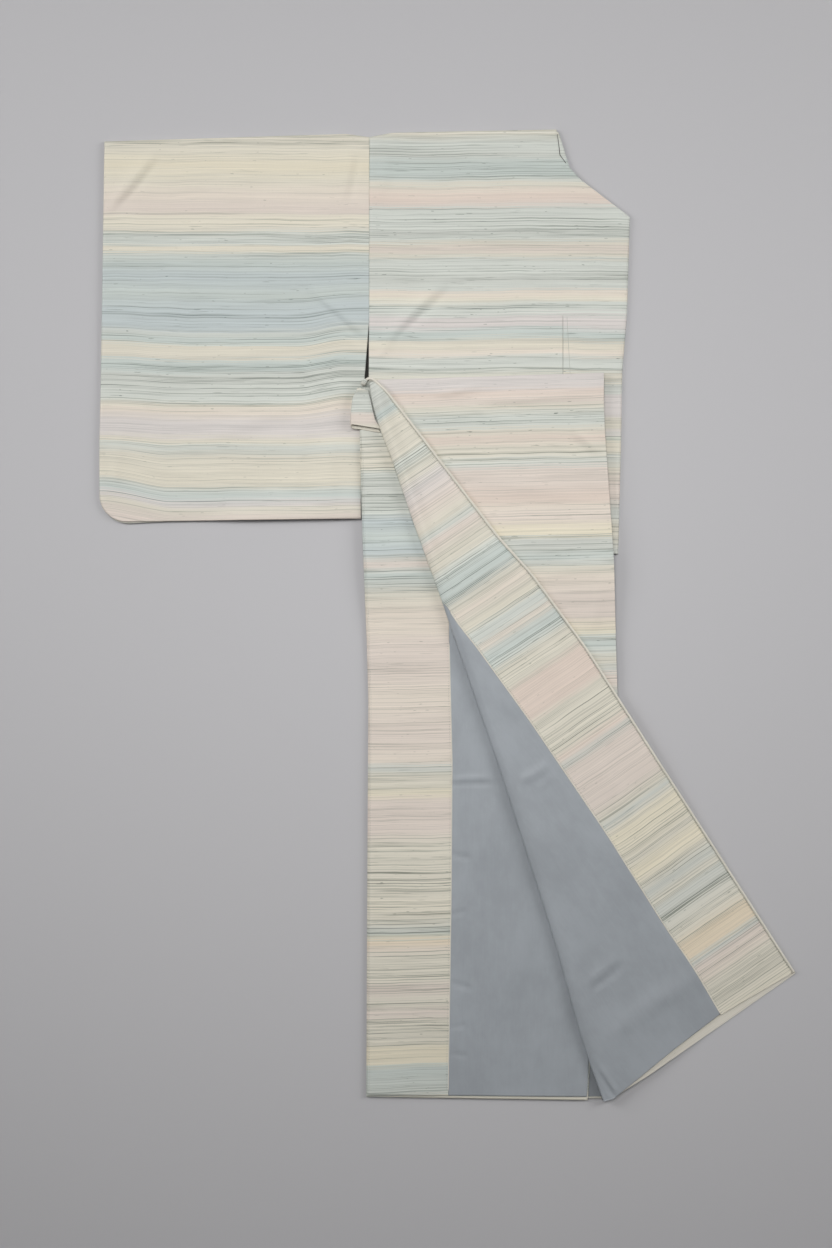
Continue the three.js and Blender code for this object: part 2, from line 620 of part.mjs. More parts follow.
function waistTieKnot() {
  const end = KNOT.radius * 0.7;
  const half = KNOT.length / 2;
  const profile = [
    [0, -half], [end, -half + 0.4], [KNOT.radius, -half + 2], [KNOT.radius * 0.92, 0],
    [KNOT.radius, half - 2], [end, half - 0.4], [0, half],
  ].map(([x, y]) => new THREE.Vector2(x, y));
  const geometry = new THREE.LatheGeometry(profile, 14);
  geometry.rotateZ(KNOT.turn);
  geometry.translate(KNOT.x, KNOT.y, bed(KNOT.x, KNOT.y) + SKIRT.leftInside + CLOTH + GAP + KNOT.radius);
  return geometry;
}

// ---------- the garment ----------

const garment = new THREE.Group();
garment.add(
  piece('sleeve_lower_layers', sleeveLowerLayers(), materials.layers),
  piece('sleeve_upper_panel', sleeveUpperPanel(), materials.silk),
  piece('top_lower_layers', topLowerLayers(), materials.layers),
  piece('top_back_panel', topBackPanel(), materials.silk),
  piece('top_back_insert', topBackInsert(), materials.silkShade),
  piece('collar_edge', collarEdge(), materials.layers),
  piece('skirt_lower_layers', skirtLowerLayers(), materials.layers),
  piece('skirt_left_shell', skirtLeftShell(), materials.silkShade),
  piece('skirt_left_facing', skirtLeftFacing(), materials.silk),
  piece('skirt_left_lining', skirtLeftLining(), materials.lining),
  piece('skirt_page_lining', skirtPageLining(), materials.lining),
  piece('skirt_page_shell', skirtPageShell(), materials.silk),
  piece('skirt_flap_facing', skirtFlapFacing(), materials.silkShade),
  piece('skirt_flap_lining', skirtFlapLining(), materials.lining),
  piece('waist_tie_end', waistTieEnd(), materials.silk),
  piece('waist_tie_knot', waistTieKnot(), materials.lining),
);

// The origin is the middle of the underside.
const middleOfAll = new THREE.Box3().setFromObject(garment).getCenter(new THREE.Vector3());
garment.position.set(-middleOfAll.x, -middleOfAll.y, 0);

export default garment;
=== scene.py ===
"""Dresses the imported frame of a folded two-piece kimono.

A short sleeved top lies folded in half. A lined wrap skirt lies folded in quarters over its lower half, and
the skirt's uppermost quarter (the page) is turned back along a diagonal into a flap. Lengths are in
millimetres and become metres when a mesh is made. X and Y are the frame's own, and Z is the height above the
surface.
"""

import math

import bpy
import numpy as np
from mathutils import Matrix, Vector


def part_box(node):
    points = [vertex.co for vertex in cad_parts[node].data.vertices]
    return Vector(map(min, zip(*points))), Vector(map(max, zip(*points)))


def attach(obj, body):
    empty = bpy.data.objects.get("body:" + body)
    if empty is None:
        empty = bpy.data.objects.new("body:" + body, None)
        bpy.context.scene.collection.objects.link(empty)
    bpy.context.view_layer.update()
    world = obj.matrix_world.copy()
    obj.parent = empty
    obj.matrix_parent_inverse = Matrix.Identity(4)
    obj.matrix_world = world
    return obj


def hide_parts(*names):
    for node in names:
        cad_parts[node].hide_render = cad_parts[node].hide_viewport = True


bl_info = {
    "name": "Folded kimono",
    "version": (1, 0, 0),
    "blender": (4, 5, 0),
    "location": "3D View > Sidebar > Kimono",
    "description": "Builds the cloth, lining, edges and stitches of a kimono that lies folded flat",
    "category": "Add Mesh",
}

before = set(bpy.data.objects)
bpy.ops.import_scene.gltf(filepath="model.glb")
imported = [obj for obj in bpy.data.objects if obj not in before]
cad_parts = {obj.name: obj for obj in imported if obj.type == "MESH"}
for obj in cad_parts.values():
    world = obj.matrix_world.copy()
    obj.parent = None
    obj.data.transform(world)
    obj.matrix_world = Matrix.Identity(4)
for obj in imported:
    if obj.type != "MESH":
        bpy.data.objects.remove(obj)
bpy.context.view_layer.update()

MM = 0.001
TURN = 2 * math.pi
UV_NAME = "Cloth"

# ---------------------------------------------------------------- sizes of the garment, as in the frame

# The frame's origin is the middle of the underside. SHIFT moves the outlines below to it, and follows from
# where the frame has the upper left corner of the pieced-in panel.
INSERT_CORNER = (146.4, 381.7)
_insert_low, _insert_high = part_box("top_back_insert")
SHIFT = np.array([_insert_low.x / MM - INSERT_CORNER[0], _insert_high.y / MM - INSERT_CORNER[1]])

# Thickness of one cloth with its turnings, and what is left between two pieces.
CLOTH = 1.0
GAP = 0.3

# The top: heights of its hidden layers, height of its upper side, its hem, the rounding of the sleeve's lower
# corner, and the notch in its shoulder fold.
SLEEVE_STACK = 3.3
BACK_STACK = 3.4
TOP_THICKNESS = 5.5
TOP_HEM_Y = 76.4
SLEEVE_CORNER = 34.0
SHOULDER_SEAM_X = -100.0
SHOULDER_DIP = 5.0
SHOULDER_DIP_REACH = 30.0
SHOULDER_DIP_HEIGHT = 40.0

# The skirt slopes down beside what it lies on: the quarters past the top's hem, and the flap beside the page.
BED_SLOPE = 115.0
FLAP_SLOPE = 150.0
FLAP_SLOPE_START = 3.0
# Heights of its cloths' lower sides over their bed.
SKIRT_LAYERS = 2.6
LEFT_SHELL = 2.9
LEFT_INSIDE = 4.2
PAGE_LINING = 5.5
PAGE = 6.8
FLAP = 8.1
FLAP_INSIDE = 9.4
# The turns of the diagonal fold, how far the inner cloths run on under the page, the least length of cloth
# that is left beside a turn, and how close its points may lie where it runs out.
FOLD_CENTRE = (PAGE + FLAP + CLOTH) / 2
SHELL_RADIUS = (FLAP - PAGE) / 2
INSIDE_RADIUS = (FLAP_INSIDE - PAGE_LINING) / 2
FOLD_LEG = 8.0
MIN_LEG = 1.5
SQUEEZE = 0.12
# Where along the fold the facing's inner seam comes out from under the page.
SEAM_WRAP = (272.0, 305.0)

SKIRT_TOP = {"left_x": -109.0, "left_y": 297.5, "right_x": 186.0, "right_y": 306.5}
SKIRT_HEM = (-611.5, -616.0)
LINING_HEM_Y = (-608.6, -611.0)
PAGE_LINING_END_Y = -545.0
# How far each inner cloth lies back from the edge that covers it.
FLAP_PIPING = 1.6
LAYERS_INSET = {"left": 3, "right": 1.5, "hem": 2}
LEFT_LINING_INSET = 1.2
PAGE_LINING_INSET = 1.8
SPINE_INSETS = (1, 2)
SPINE_HEIGHTS = (SKIRT_LAYERS + 0.05, SKIRT_LAYERS + 0.75)

# The line from which each panel's stripes are counted downwards, and its rise to the right.
SLEEVE_STRIPES = {"top_y": 609.0}
BACK_STRIPES = {"top_y": 616.0}
PAGE_STRIPES = {"top_y": 301.9, "slope": 0.0306}
LEFT_STRIPES = {"top_y": 300.6, "slope": 0.026}
PLAIN_CLOTH = {"top_y": 300.0}
# The dark strip of painted shade at the armhole counts its weave down from this line.
ARMHOLE_SHADE_UV = {"top_y": 385.0}

# The rims of the hidden layers: their number, how far each swells, and how far each lies back.
SLEEVE_RIM = {"layers": 3, "bulge": 0.5, "insets": (0.0, 1.2, 0.4)}
BACK_RIM = {"layers": 3, "bulge": 0.5, "insets": (0.0, 1.1, 0.5)}
SKIRT_RIM = {"layers": 3, "bulge": 0.45, "insets": (0.0, 1.6, 0.3)}

# How far along its edges a grid of points is finer, because cloth rounds off there.
EDGE_PLACES = np.array([0, 0.15, 0.5, 1.1, 2.0, 3.2])
# How each panel rounds off downwards at its edges, as (reach, drop).
OVER_THE_FOLD = (4.0, 4.2)
OPEN_EDGE = (2.5, 1.1)
ARMHOLE_EDGE = (1.5, 0.35)
PIECED_EDGE = (0.8, 0.15)
EDGE_FALLS = {
    "sleeve_front": {"left": OPEN_EDGE, "right": ARMHOLE_EDGE, "first": OVER_THE_FOLD, "last": (4.0, 1.8)},
    "back_upper": {"left": ARMHOLE_EDGE, "first": OVER_THE_FOLD},
    "back_lower": {"left": ARMHOLE_EDGE, "right": PIECED_EDGE},
    "back_insert": {"left": PIECED_EDGE, "right": OVER_THE_FOLD, "last": OPEN_EDGE},
    "neck_edge": {"left": (0.8, 0.3), "right": (2.2, 1.6), "first": (1.0, 0.5), "last": (1.0, 0.5)},
    "left_outer_cloth": {"left": (2.2, 1.0), "right": (1.5, 0.3), "last": (2.5, 0.9)},
    "left_facing": {"left": (2.0, 0.7), "right": (1.2, 0.3), "last": (1.5, 0.5)},
    "left_lining": {"left": (1.2, 0.4), "right": (1.5, 0.4), "last": (1.5, 0.5)},
}

# Rows of an outline: left end and right end of each row, from the top down.
SLEEVE_ROWS = [
    (-436.3, 603.4, -99.9, 614.0),
    (-439.5, 388.3, -100.2, 375.5),
    (-441.4, 273.7, -106.0, 301.7),
    (-442.7, 222.8, -109.8, 235.5),
    (-442.7, 154.0, -110.4, 150.0),
]
SLEEVE_HEM = {"y": 119.5, "left_x": -442.7, "right_x": -110.4, "right_y": 123.5}
# The dark strip at the armhole is painted shade: a thin sheet in the shade colour on the surface, where the
# gap between sleeve and back lies in deep shadow. Its rows, and the heights of its two sides.
ARMHOLE_SHADE_ROWS = [
    (-103.0, 385.0, -98.5, 385.0),
    (-109.0, 290.0, -98.5, 290.0),
]
ARMHOLE_SHADE_HEIGHTS = (0.05, 0.6)
BACK_UPPER_ROWS = [
    (-99.6, 614.0, 137.8, 618.7),
    (-99.6, 602.0, 139.6, 604.7),
    (-99.6, 583.0, 142.0, 585.6),
    (-99.6, 571.6, 150.8, 574.0),
    (-99.6, 551.0, 169.6, 553.8),
    (-99.6, 506.0, 231.6, 506.9),
    (-99.9, 382.0, 227.9, 382.0),
]
BACK_LOWER_ROWS = [
    (-99.9, 382.0, 146.1, 382.0),
    (-100.2, 310.6, 146.1, 310.6),
    (-100.2, 76.4, 146.1, 76.4),
]
INSERT_ROWS = [
    (146.4, 381.9, 227.9, 381.9),
    (146.4, 310.6, 222.0, 310.6),
    (146.4, 222.8, 220.5, 222.8),
    (146.4, 76.4, 216.7, 78.9),
]
TOP_LAYER_ROWS = [
    (-98.0, 611.5, 136.0, 616.5),
    (-98.0, 602.0, 134.0, 603.0),
    (-98.0, 583.0, 137.0, 583.5),
    (-98.0, 568.0, 145.0, 568.0),
    (-98.0, 551.0, 167.0, 552.0),
    (-98.0, 506.0, 229.6, 506.2),
    (-98.2, 310.6, 220.2, 310.6),
    (-98.4, 222.8, 218.6, 222.8),
    (-98.4, 78.4, 214.7, 80.4),
]
COLLAR_ROWS = [
    (138.6, 615.0, 140.6, 614.6),
    (136.6, 602.5, 144.6, 603.0),
    (138.2, 593.0, 147.6, 593.2),
    (140.5, 583.5, 150.6, 583.4),
    (147.2, 572.0, 154.6, 570.6),
]
COLLAR_HEIGHTS = (3.6, 4.8)
# The thin gap between the back and the collar's edge, as (x, y, height), along which a dark tube paints its
# shade.
NECK_SHADE_LINE = [(138.9, 614.0, 4.6), (141.0, 600.0, 4.75), (142.6, 585.6, 4.75), (151.0, 574.2, 4.7)]
NECK_END_Y = 512.0
# Both ends of each seam round the pieced-in panel.
BACK_SEAMS = [
    ((146.6, 381.0), (146.6, 306.0)), ((151.4, 381.0), (155.6, 306.0)),
    ((148.0, 311.9), (226.0, 311.9)), ((196.0, 297.2), (222.0, 297.2)),
]

# Edges of the skirt, as (y, x), and the Y of each row of the spine's lining.
SKIRT_LEFT = [
    (297.5, -109.0), (234.2, -111.7), (184.6, -110.4), (95.5, -107.9),
    (-31.8, -102.8), (-108.2, -100.6), (-235.5, -101.5), (-616.1, -103.4),
]
PAGE_RIGHT = [
    (308.1, 197.6), (268.6, 197.6), (235.5, 198.9), (70.0, 210.4),
    (-101.8, 215.5), (-235.5, 214.2), (-426.5, 207.8), (-618.7, 198.9),
]
QUARTER_RIGHT = [(308.1, 186.0), (70.0, 196.0), (-101.8, 200.0), (-426.5, 188.0), (-616.1, 177.6)]
SPINE_ROWS_Y = (-530.0, -570.0, -611.0)
FACING_RIGHT = [(308.1, 0.0), (-31.8, 1.6), (-184.6, 5.4), (-362.8, 4.1), (-616.1, 0.2)]

# The diagonal fold, and edges as (distance along the fold, distance from its straight line).
FOLD_START = np.array([-100.2, 297.9])
FOLD_END = np.array([198.3, -618.7])
FOLD_ALONG = (FOLD_END - FOLD_START) / np.linalg.norm(FOLD_END - FOLD_START)
FOLD_ACROSS = np.array([-FOLD_ALONG[1], FOLD_ALONG[0]])
FOLD_BOW = [
    (0, 0), (28, -5.0), (66, -5.6), (103, -3.2), (190, -2.0), (283, 1.2), (400, 3.2), (509, 5.2),
    (700, 4.4), (765, 3.4), (856, -1.5), (906, -1.8), (964, 0),
]
PAGE_EDGE = [
    (0, 3), (82.6, 286.4), (120.1, 274.2), (152, 265.1), (312.9, 224.8), (477.8, 176.4), (604.5, 133.8),
    (784.1, 68.6), (964.1, 0.6),
]
FLAP_EDGE = [
    (0, 4), (3.5, 10.9), (28.4, 21.5), (87.5, 42.5), (190.3, 78.6), (240.1, 95.9), (295.1, 120.8),
    (404.7, 157.4), (571.5, 200.8), (700.5, 235.1), (884.1, 283.1), (915.4, 179.8), (947.6, 68.9),
    (964.1, 0.6),
]
FACING_INNER = [
    (305, 6.2), (330.4, 12.5), (358.5, 23.8), (412.3, 41.1), (476.6, 61.7), (637.7, 108.3), (780.8, 144.7),
    (838.6, 162.0), (905, 176.5), (930, 182),
]
FACING_HEM = [(881.7, 281.8), (904.4, 177.1)]
LINING_HEM = [(903, 177.0), (926, 109.4), (964, 8.0)]

# Where each cloth, cord and seam of the flap begins and ends along the fold. Its rows are ROW_STEP mesh steps
# apart, and half that from FINE_ROWS_FROM on.
SHELL_ENDS = (3.0, 962.0)
FACING_ENDS = (3.0, FACING_HEM[-1][0])
LINING_ENDS = (276.0, 962.0)
CORD_ENDS = (16.0, 883.0)
FLAP_SEAM_ENDS = (310.0, 903.0)
FRONT_STITCH_ENDS = (30.0, 875.0)
ROW_STEP = 1.15
FINE_ROWS_FROM = 880.0
# The fullness of the fold low down, as a share of what it is at the waist.
ROLL_LOW_SHARE = 0.62
# How far seams and stitches stand proud of their cloth's upper side.
STITCH_RISE = 0.02

# ---------------------------------------------------------------- colours and the charts of the stripes

PALETTE = {
    "cream": (221, 215, 199),
    "warm": (224, 216, 195),
    "oat": (213, 208, 194),
    "sage": (201, 203, 191),
    "mist": (203, 206, 199),
    "sea": (192, 199, 194),
    "sky": (187, 195, 195),
    "shell": (223, 213, 200),
    "rose": (217, 206, 196),
    "blush": (220, 205, 193),
    "peach": (226, 212, 189),
    "lilac": (214, 208, 204),
    "stone": (198, 200, 193),
    "edge": (216, 211, 199),
    "hidden": (188, 186, 176),
    # shade is painted shade: the dark colour of the strip at the armhole and of the tube along the neck's
    # gap, where there is only shadow.
    "shade": (60, 58, 55),
    "hem": (220, 216, 202),
    # spine is painted shade: a darker grey for the lining that lies low in the hollow at the spine, beside
    # the fold.
    "spine": (128, 132, 136),
    "thread": (160, 160, 150),
    "pale_thread": (182, 182, 174),
}
LINING_COLOUR = (156, 161, 166)
LINE_TINT = (0.40, 0.43, 0.41)

# Each row: distance down the cloth, colour, and amount of dark slub lines from 0 to 1. Rows blend.
SLEEVE_CHART = [
    (0, "oat", 0.5), (12, "oat", 0.7), (20, "cream", 0.3), (38, "warm", 0.1), (54, "cream", 0.25),
    (74, "shell", 0.1), (94, "rose", 0.15), (105, "cream", 0.4), (112, "cream", 0.5), (118, "oat", 0.7),
    (124, "mist", 0.7), (136, "mist", 0.8), (139, "cream", 0.2), (146, "cream", 0.4), (149, "mist", 0.6),
    (160, "sea", 0.5), (178, "sky", 0.55), (198, "sea", 0.5), (217, "sky", 0.6), (238, "sky", 0.6),
    (246, "mist", 0.3), (252, "sea", 0.9), (258, "sea", 1.0), (262, "cream", 0.2), (277, "oat", 0.2),
    (281, "sea", 0.9), (292, "sea", 0.9), (298, "stone", 0.8), (330, "mist", 0.9), (336, "oat", 0.5),
    (345, "shell", 0.2), (362, "lilac", 0.1), (376, "lilac", 0.2), (386, "cream", 0.2), (396, "mist", 0.6),
    (408, "oat", 0.4), (424, "cream", 0.15), (441, "cream", 0.3), (448, "mist", 0.5), (457, "sea", 0.6),
    (465, "lilac", 0.4), (472, "oat", 0.4), (484, "rose", 0.25),
]
BACK_CHART = [
    (0, "oat", 0.7), (14, "mist", 0.7), (22, "mist", 0.7), (32, "stone", 0.8), (42, "sea", 0.8),
    (56, "sea", 0.7), (62, "mist", 0.7), (68, "oat", 0.4), (75, "shell", 0.1), (84, "blush", 0.1),
    (93, "rose", 0.2), (98, "mist", 0.6), (106, "mist", 0.7), (118, "mist", 0.8), (128, "stone", 0.9),
    (137, "mist", 0.5), (142, "oat", 0.3), (150, "rose", 0.2), (158, "oat", 0.3), (164, "mist", 0.5),
    (176, "mist", 0.6), (188, "stone", 0.9), (198, "mist", 0.5), (204, "shell", 0.1), (213, "cream", 0.3),
    (221, "mist", 0.7), (230, "mist", 0.9), (237, "lilac", 0.3), (248, "lilac", 0.3), (254, "sea", 0.8),
    (262, "sea", 0.7), (267, "oat", 0.3), (273, "cream", 0.2), (282, "shell", 0.2), (288, "mist", 0.9),
    (300, "mist", 0.8), (320, "oat", 0.3), (540, "sage", 0.6),
]
# The insert's rose and stone rows from 446 to 490 are partly its own bands and partly painted shade, darker
# where the page's edge shades the insert beside it.
INSERT_CHART = [
    (234, "mist", 0.7), (239, "lilac", 0.3), (250, "lilac", 0.3), (256, "sea", 0.8), (264, "sea", 0.7),
    (269, "oat", 0.3), (275, "cream", 0.2), (284, "shell", 0.2), (290, "mist", 0.9), (304, "mist", 0.8),
    (307, "oat", 0.3), (317, "oat", 0.5), (320, "stone", 0.7), (335, "stone", 0.7), (338, "lilac", 0.15),
    (363, "lilac", 0.15), (366, "oat", 0.3), (379, "oat", 0.3), (382, "lilac", 0.15), (390, "sage", 1.0),
    (394, "sage", 1.0), (396, "cream", 0.2), (410, "cream", 0.3), (416, "mist", 0.7), (428, "oat", 0.4),
    (446, "rose", 0.4), (468, "rose", 0.5), (478, "stone", 0.8), (490, "stone", 0.8), (502, "oat", 0.5),
    (512, "oat", 0.6), (534, "stone", 0.8),
]
PAGE_CHART = [
    (0, "lilac", 0.1), (14, "lilac", 0.2), (22, "blush", 0.2), (32, "rose", 0.4), (40, "oat", 0.8),
    (52, "mist", 0.7), (62, "mist", 0.5), (70, "oat", 0.4), (80, "blush", 0.1), (90, "oat", 0.4),
    (100, "oat", 0.7), (112, "mist", 0.7), (120, "rose", 0.3), (136, "rose", 0.2), (158, "blush", 0.15),
    (170, "shell", 0.5), (182, "rose", 0.5), (194, "warm", 0.2), (201, "warm", 0.3), (206, "stone", 0.9),
    (222, "stone", 1.0), (230, "sea", 1.0), (235, "stone", 1.0), (240, "stone", 1.0), (246, "oat", 0.6),
    (258, "shell", 0.4), (282, "rose", 0.3), (306, "rose", 0.5), (326, "warm", 0.3), (333, "mist", 0.6),
    (343, "sea", 0.8), (352, "mist", 0.6), (363, "oat", 0.5), (374, "stone", 0.8), (385, "rose", 0.4),
    (397, "rose", 0.4), (405, "stone", 0.7), (440, "shell", 0.4), (700, "oat", 0.5), (903, "oat", 0.3),
    (910, "edge", 0.0),
]
# The facing's stone and sea rows from 224 to 247 are partly its own bands and partly painted shade of the
# trough that crosses it there.
LEFT_FACING_CHART = [
    (0, "stone", 0.6), (60, "stone", 0.9), (100, "oat", 0.8), (112, "oat", 0.8), (118, "mist", 0.8),
    (132, "stone", 0.8), (168, "mist", 0.9), (178, "sky", 0.7), (200, "sea", 0.8), (216, "sky", 0.9),
    (224, "stone", 0.7), (232, "rose", 0.5), (240, "stone", 0.9), (247, "sea", 1.0), (260, "stone", 0.8),
    (274, "oat", 0.5), (290, "shell", 0.4), (320, "shell", 0.2), (334, "rose", 0.4), (372, "rose", 0.4),
    (400, "shell", 0.4), (450, "rose", 0.4), (486, "shell", 0.3), (494, "stone", 0.6), (502, "oat", 0.4),
    (514, "oat", 0.4), (524, "warm", 0.2), (536, "rose", 0.5), (570, "rose", 0.5), (590, "oat", 0.8),
    (602, "oat", 0.9), (624, "oat", 0.9), (650, "oat", 1.0), (668, "cream", 0.6), (684, "oat", 0.7),
    (700, "stone", 1.0), (706, "sage", 1.0), (712, "peach", 0.1), (724, "shell", 0.3), (732, "oat", 1.0),
    (760, "oat", 1.0), (772, "rose", 0.5), (790, "oat", 0.7), (806, "rose", 0.7), (815, "oat", 0.9),
    (826, "oat", 0.8), (842, "oat", 0.8), (849, "warm", 0.2), (868, "warm", 0.2), (873, "sea", 0.4),
    (908, "mist", 0.5), (911, "hem", 0.1), (930, "hem", 0.1),
]
FLAP_FACING_CHART = [
    (0, "stone", 0.4), (42, "stone", 0.5), (46, "sea", 0.9), (56, "sea", 0.9), (60, "oat", 0.5),
    (84, "oat", 0.5), (104, "oat", 0.6), (112, "mist", 0.7), (130, "oat", 0.6), (150, "lilac", 0.5),
    (176, "rose", 0.4), (198, "oat", 0.4), (210, "mist", 0.5), (218, "rose", 0.2), (236, "oat", 0.3),
    (248, "oat", 0.7), (258, "mist", 0.9), (268, "sea", 0.9), (284, "sea", 0.9), (292, "stone", 0.9),
    (300, "oat", 0.4), (312, "shell", 0.2), (322, "oat", 0.3), (334, "cream", 0.3), (342, "mist", 0.7),
    (352, "mist", 0.7), (361, "shell", 0.3), (370, "mist", 0.6), (379, "sea", 0.8), (392, "mist", 0.7),
    (402, "oat", 0.5), (412, "oat", 0.8), (422, "oat", 0.4), (431, "blush", 0.2), (468, "blush", 0.2),
    (478, "oat", 0.3), (490, "oat", 0.7), (512, "oat", 0.7), (522, "oat", 0.6), (532, "blush", 0.4),
    (541, "stone", 0.9), (550, "rose", 0.4), (578, "rose", 0.3), (606, "rose", 0.3), (622, "oat", 0.4),
    (632, "stone", 0.6), (641, "oat", 0.5), (652, "warm", 0.5), (690, "oat", 0.6), (701, "warm", 0.4),
    (712, "warm", 0.4), (722, "oat", 0.8), (736, "stone", 0.8), (750, "oat", 0.8), (760, "stone", 1.0),
    (804, "oat", 1.0), (818, "peach", 0.4), (834, "peach", 0.3), (841, "stone", 0.8), (852, "rose", 0.5),
    (870, "shell", 0.3), (880, "oat", 0.6), (905, "oat", 0.6), (925, "cream", 0.6),
]
TIE_CHART = [
    (0, "oat", 0.6), (8, "stone", 0.9), (14, "mist", 0.8), (22, "stone", 1.0), (27, "mist", 0.8),
    (32, "stone", 0.8), (36, "rose", 0.2), (46, "rose", 0.3), (50, "oat", 0.1), (60, "oat", 0.1),
]
ROLL_CHART = [
    (0, "hidden", 0.9), (8, "hidden", 0.8), (12, "stone", 1.0), (18, "hidden", 0.8), (24, "hidden", 0.7),
]

# The flat tie end: left end and right end of each row, the lower sides of its two plies over its bed, and how
# much shorter its upper ply is, so that it shows open at its lower end.
TIE_ROWS = [
    (-114.5, 289.0, -101.0, 285.0), (-121.3, 275.0, -97.6, 271.0), (-123.2, 253.3, -92.4, 246.0),
    (-123.4, 244.5, -88.0, 238.0), (-123.2, 238.2, -86.0, 232.4),
]
TIE_PLIES = (5.5, 10.0)
TIE_UPPER_SHORTER = 4.6
# Places across one ply, from its right edge to the fold at its left, as shares.
TIE_SHARES = np.array([0, 0.006, 0.02, 0.05, 0.1, 0.18, 0.28, 0.4, 0.53, 0.67, 0.8, 0.92])
TIE_RIDGE = {"x": -112.0, "half_width": 5.0, "height": 0.5}
# The rolled end beside it: turns, radius from and to, half its length, its wall and its turn from the Y axis.
ROLL = {"turns": 1.6, "inner": 1.1, "outer": 3.5, "half_length": 4.6, "wall": 0.9, "tilt": 0.5}
# The front edge's cord, from the rolled end to the flap, as (x, y, height).
CORD_START = [(-107.6, 293.6, 12.5), (-105.2, 298.0, 13.6), (-100.0, 300.9, 15.0), (-94.5, 299.6, 16.0)]

# ---------------------------------------------------------------- soft creases

# Each row: middle x, middle y, direction in degrees, half length, half width, and height. A negative height
# makes a trough.
SLEEVE_CREASES = [
    (-140, 387, -43, 62, 9, 2.6), (-132, 372, -43, 50, 5, -1.6), (-401, 553, 50, 62, 8, 2.6),
    (-392, 549, 50, 50, 5, -1.6), (-190, 212, 84, 80, 14, 1.8), (-128, 560, 78, 40, 7, 1.8),
    (-118, 556, 80, 36, 4, -1.0), (-300, 330, 4, 110, 12, 1.0), (-405, 395, -58, 40, 8, 1.2),
    (-230, 470, 88, 90, 16, 1.2), (-330, 180, -6, 80, 12, 1.0), (-160, 300, -30, 60, 8, 1.4),
    (-380, 300, 80, 70, 14, 1.0), (-200, 118, 1, 120, 26, 3.4), (-260, 560, 86, 60, 16, 1.2),
    (-330, 440, 72, 90, 14, 1.0), (-180, 480, -70, 80, 12, 1.0), (-240, 250, 20, 110, 12, 1.0),
    (-150, 180, 88, 60, 12, 1.6), (-420, 200, 84, 60, 8, 1.2),
]
BACK_CREASES = [
    (-44, 388, 44, 74, 8, 2.8), (-36, 380, 44, 64, 5, -1.8), (-70, 350, 46, 40, 7, 1.6),
    (135, 470, 88, 130, 2.2, 0.8), (120, 430, -12, 60, 14, 1.2), (10, 520, 10, 80, 14, 1.0),
    (190, 440, 84, 60, 8, 1.2), (60, 350, 3, 90, 10, 1.0), (-80, 560, 78, 40, 8, 1.4),
]
PAGE_CREASES = [
    (120, 262, 3, 100, 7, -2.4), (110, 276, 4, 96, 7, 1.6), (60, 250, -24, 40, 6, 0.9),
    (176, 222, -40, 24, 5, 2.2), (166, 214, -34, 26, 3.5, -1.4), (150, 100, 5, 80, 12, 1.4),
    (120, 160, -8, 60, 10, 1.4), (190, 20, 80, 60, 10, 1.2), (10, 285, 12, 34, 5, 1.6),
    (60, 288, 20, 36, 6, -1.4), (165, 60, 10, 50, 10, 1.2),
]
LEFT_CREASES = [
    (-55, -35.5, 0.5, 60, 1.3, -0.7), (-55, -39, 0.5, 60, 2.0, 0.6), (-60, 90, 4, 50, 9, 0.8),
    (-70, -190, 86, 110, 10, 0.6), (-45, -420, 84, 120, 10, 0.6), (38, -207, 1, 46, 4.0, 0.9),
    (38, -213, 1, 46, 2.4, -1.5), (16, -306, -14, 16, 2.6, -1.0), (14, -378, 12, 13, 2.6, -1.1),
    (17, -470, -20, 18, 2.8, -1.1), (14, -522, 8, 12, 2.4, -1.0), (14, -558, -10, 13, 2.4, -1.1),
    (96, -400, 74, 150, 22, 1.2), (70, -250, 66, 90, 16, 0.9), (120, -540, 70, 60, 14, 0.8),
    (-98, 140, 88, 60, 4, 0.8), (-60, 64, 3, 46, 8, -1.6), (-60, 52, 3, 46, 5, 0.6),
]
FLAP_CREASES = [
    (196, -588, -56, 31, 2.8, -2.0), (203, -588, -56, 31, 3.4, 1.2), (196, -450, 40, 34, 7, 1.0),
    (203, -459, 40, 30, 3.6, -2.0), (110, -200, 30, 26, 6, 1.4),
    (124, -212, 34, 20, 4, 0.5), (60, -90, -60, 60, 14, 1.0), (250, -500, 36, 70, 14, 1.2),
    (150, -330, -62, 120, 16, 1.3), (300, -470, 30, 60, 12, 0.9), (130, -60, -55, 90, 14, 0.9),
    (240, -260, -56, 120, 16, 0.9), (20, 120, -62, 90, 10, 0.9), (350, -430, 36, 50, 12, 0.8),
]

# ---------------------------------------------------------------- small helpers


def ease(t):
    """0 up to 0, 1 from 1, and smooth between."""
    t = np.clip(t, 0.0, 1.0)
    return t * t * (3 - 2 * t)


def rise(place, start, reach):
    """0 up to a start, then smoothly up to 1 over a reach. A negative reach runs backwards."""
    return ease((place - start) / reach)


def mix(a, b, t):
    return a + (b - a) * t


def rounding(distance, reach):
    """How far a rounded edge has dropped, as a share: 1 at the edge, 0 from a reach on."""
    near = np.clip(1 - distance / reach, 0, 1)
    return 1 - np.sqrt(1 - near * near)


def run_along(path):
    """Distance of each point of a path from its first."""
    return np.concatenate([[0], np.cumsum(np.linalg.norm(np.diff(path, axis=0), axis=1))])


def points_between(path, count):
    """A path's knots, brought to a count of points that are even between its ends."""
    path = np.asarray(path, float)
    places, knots = np.linspace(0, 1, count), np.linspace(0, 1, len(path))
    return np.stack([np.interp(places, knots, column) for column in path.T], -1)


def table_reader(rows):
    """Reads a two-column table at places between its rows."""
    rows = sorted(rows)
    keys = np.array([row[0] for row in rows], float)
    values = np.array([row[1] for row in rows], float)
    return lambda place: np.interp(place, keys, values)


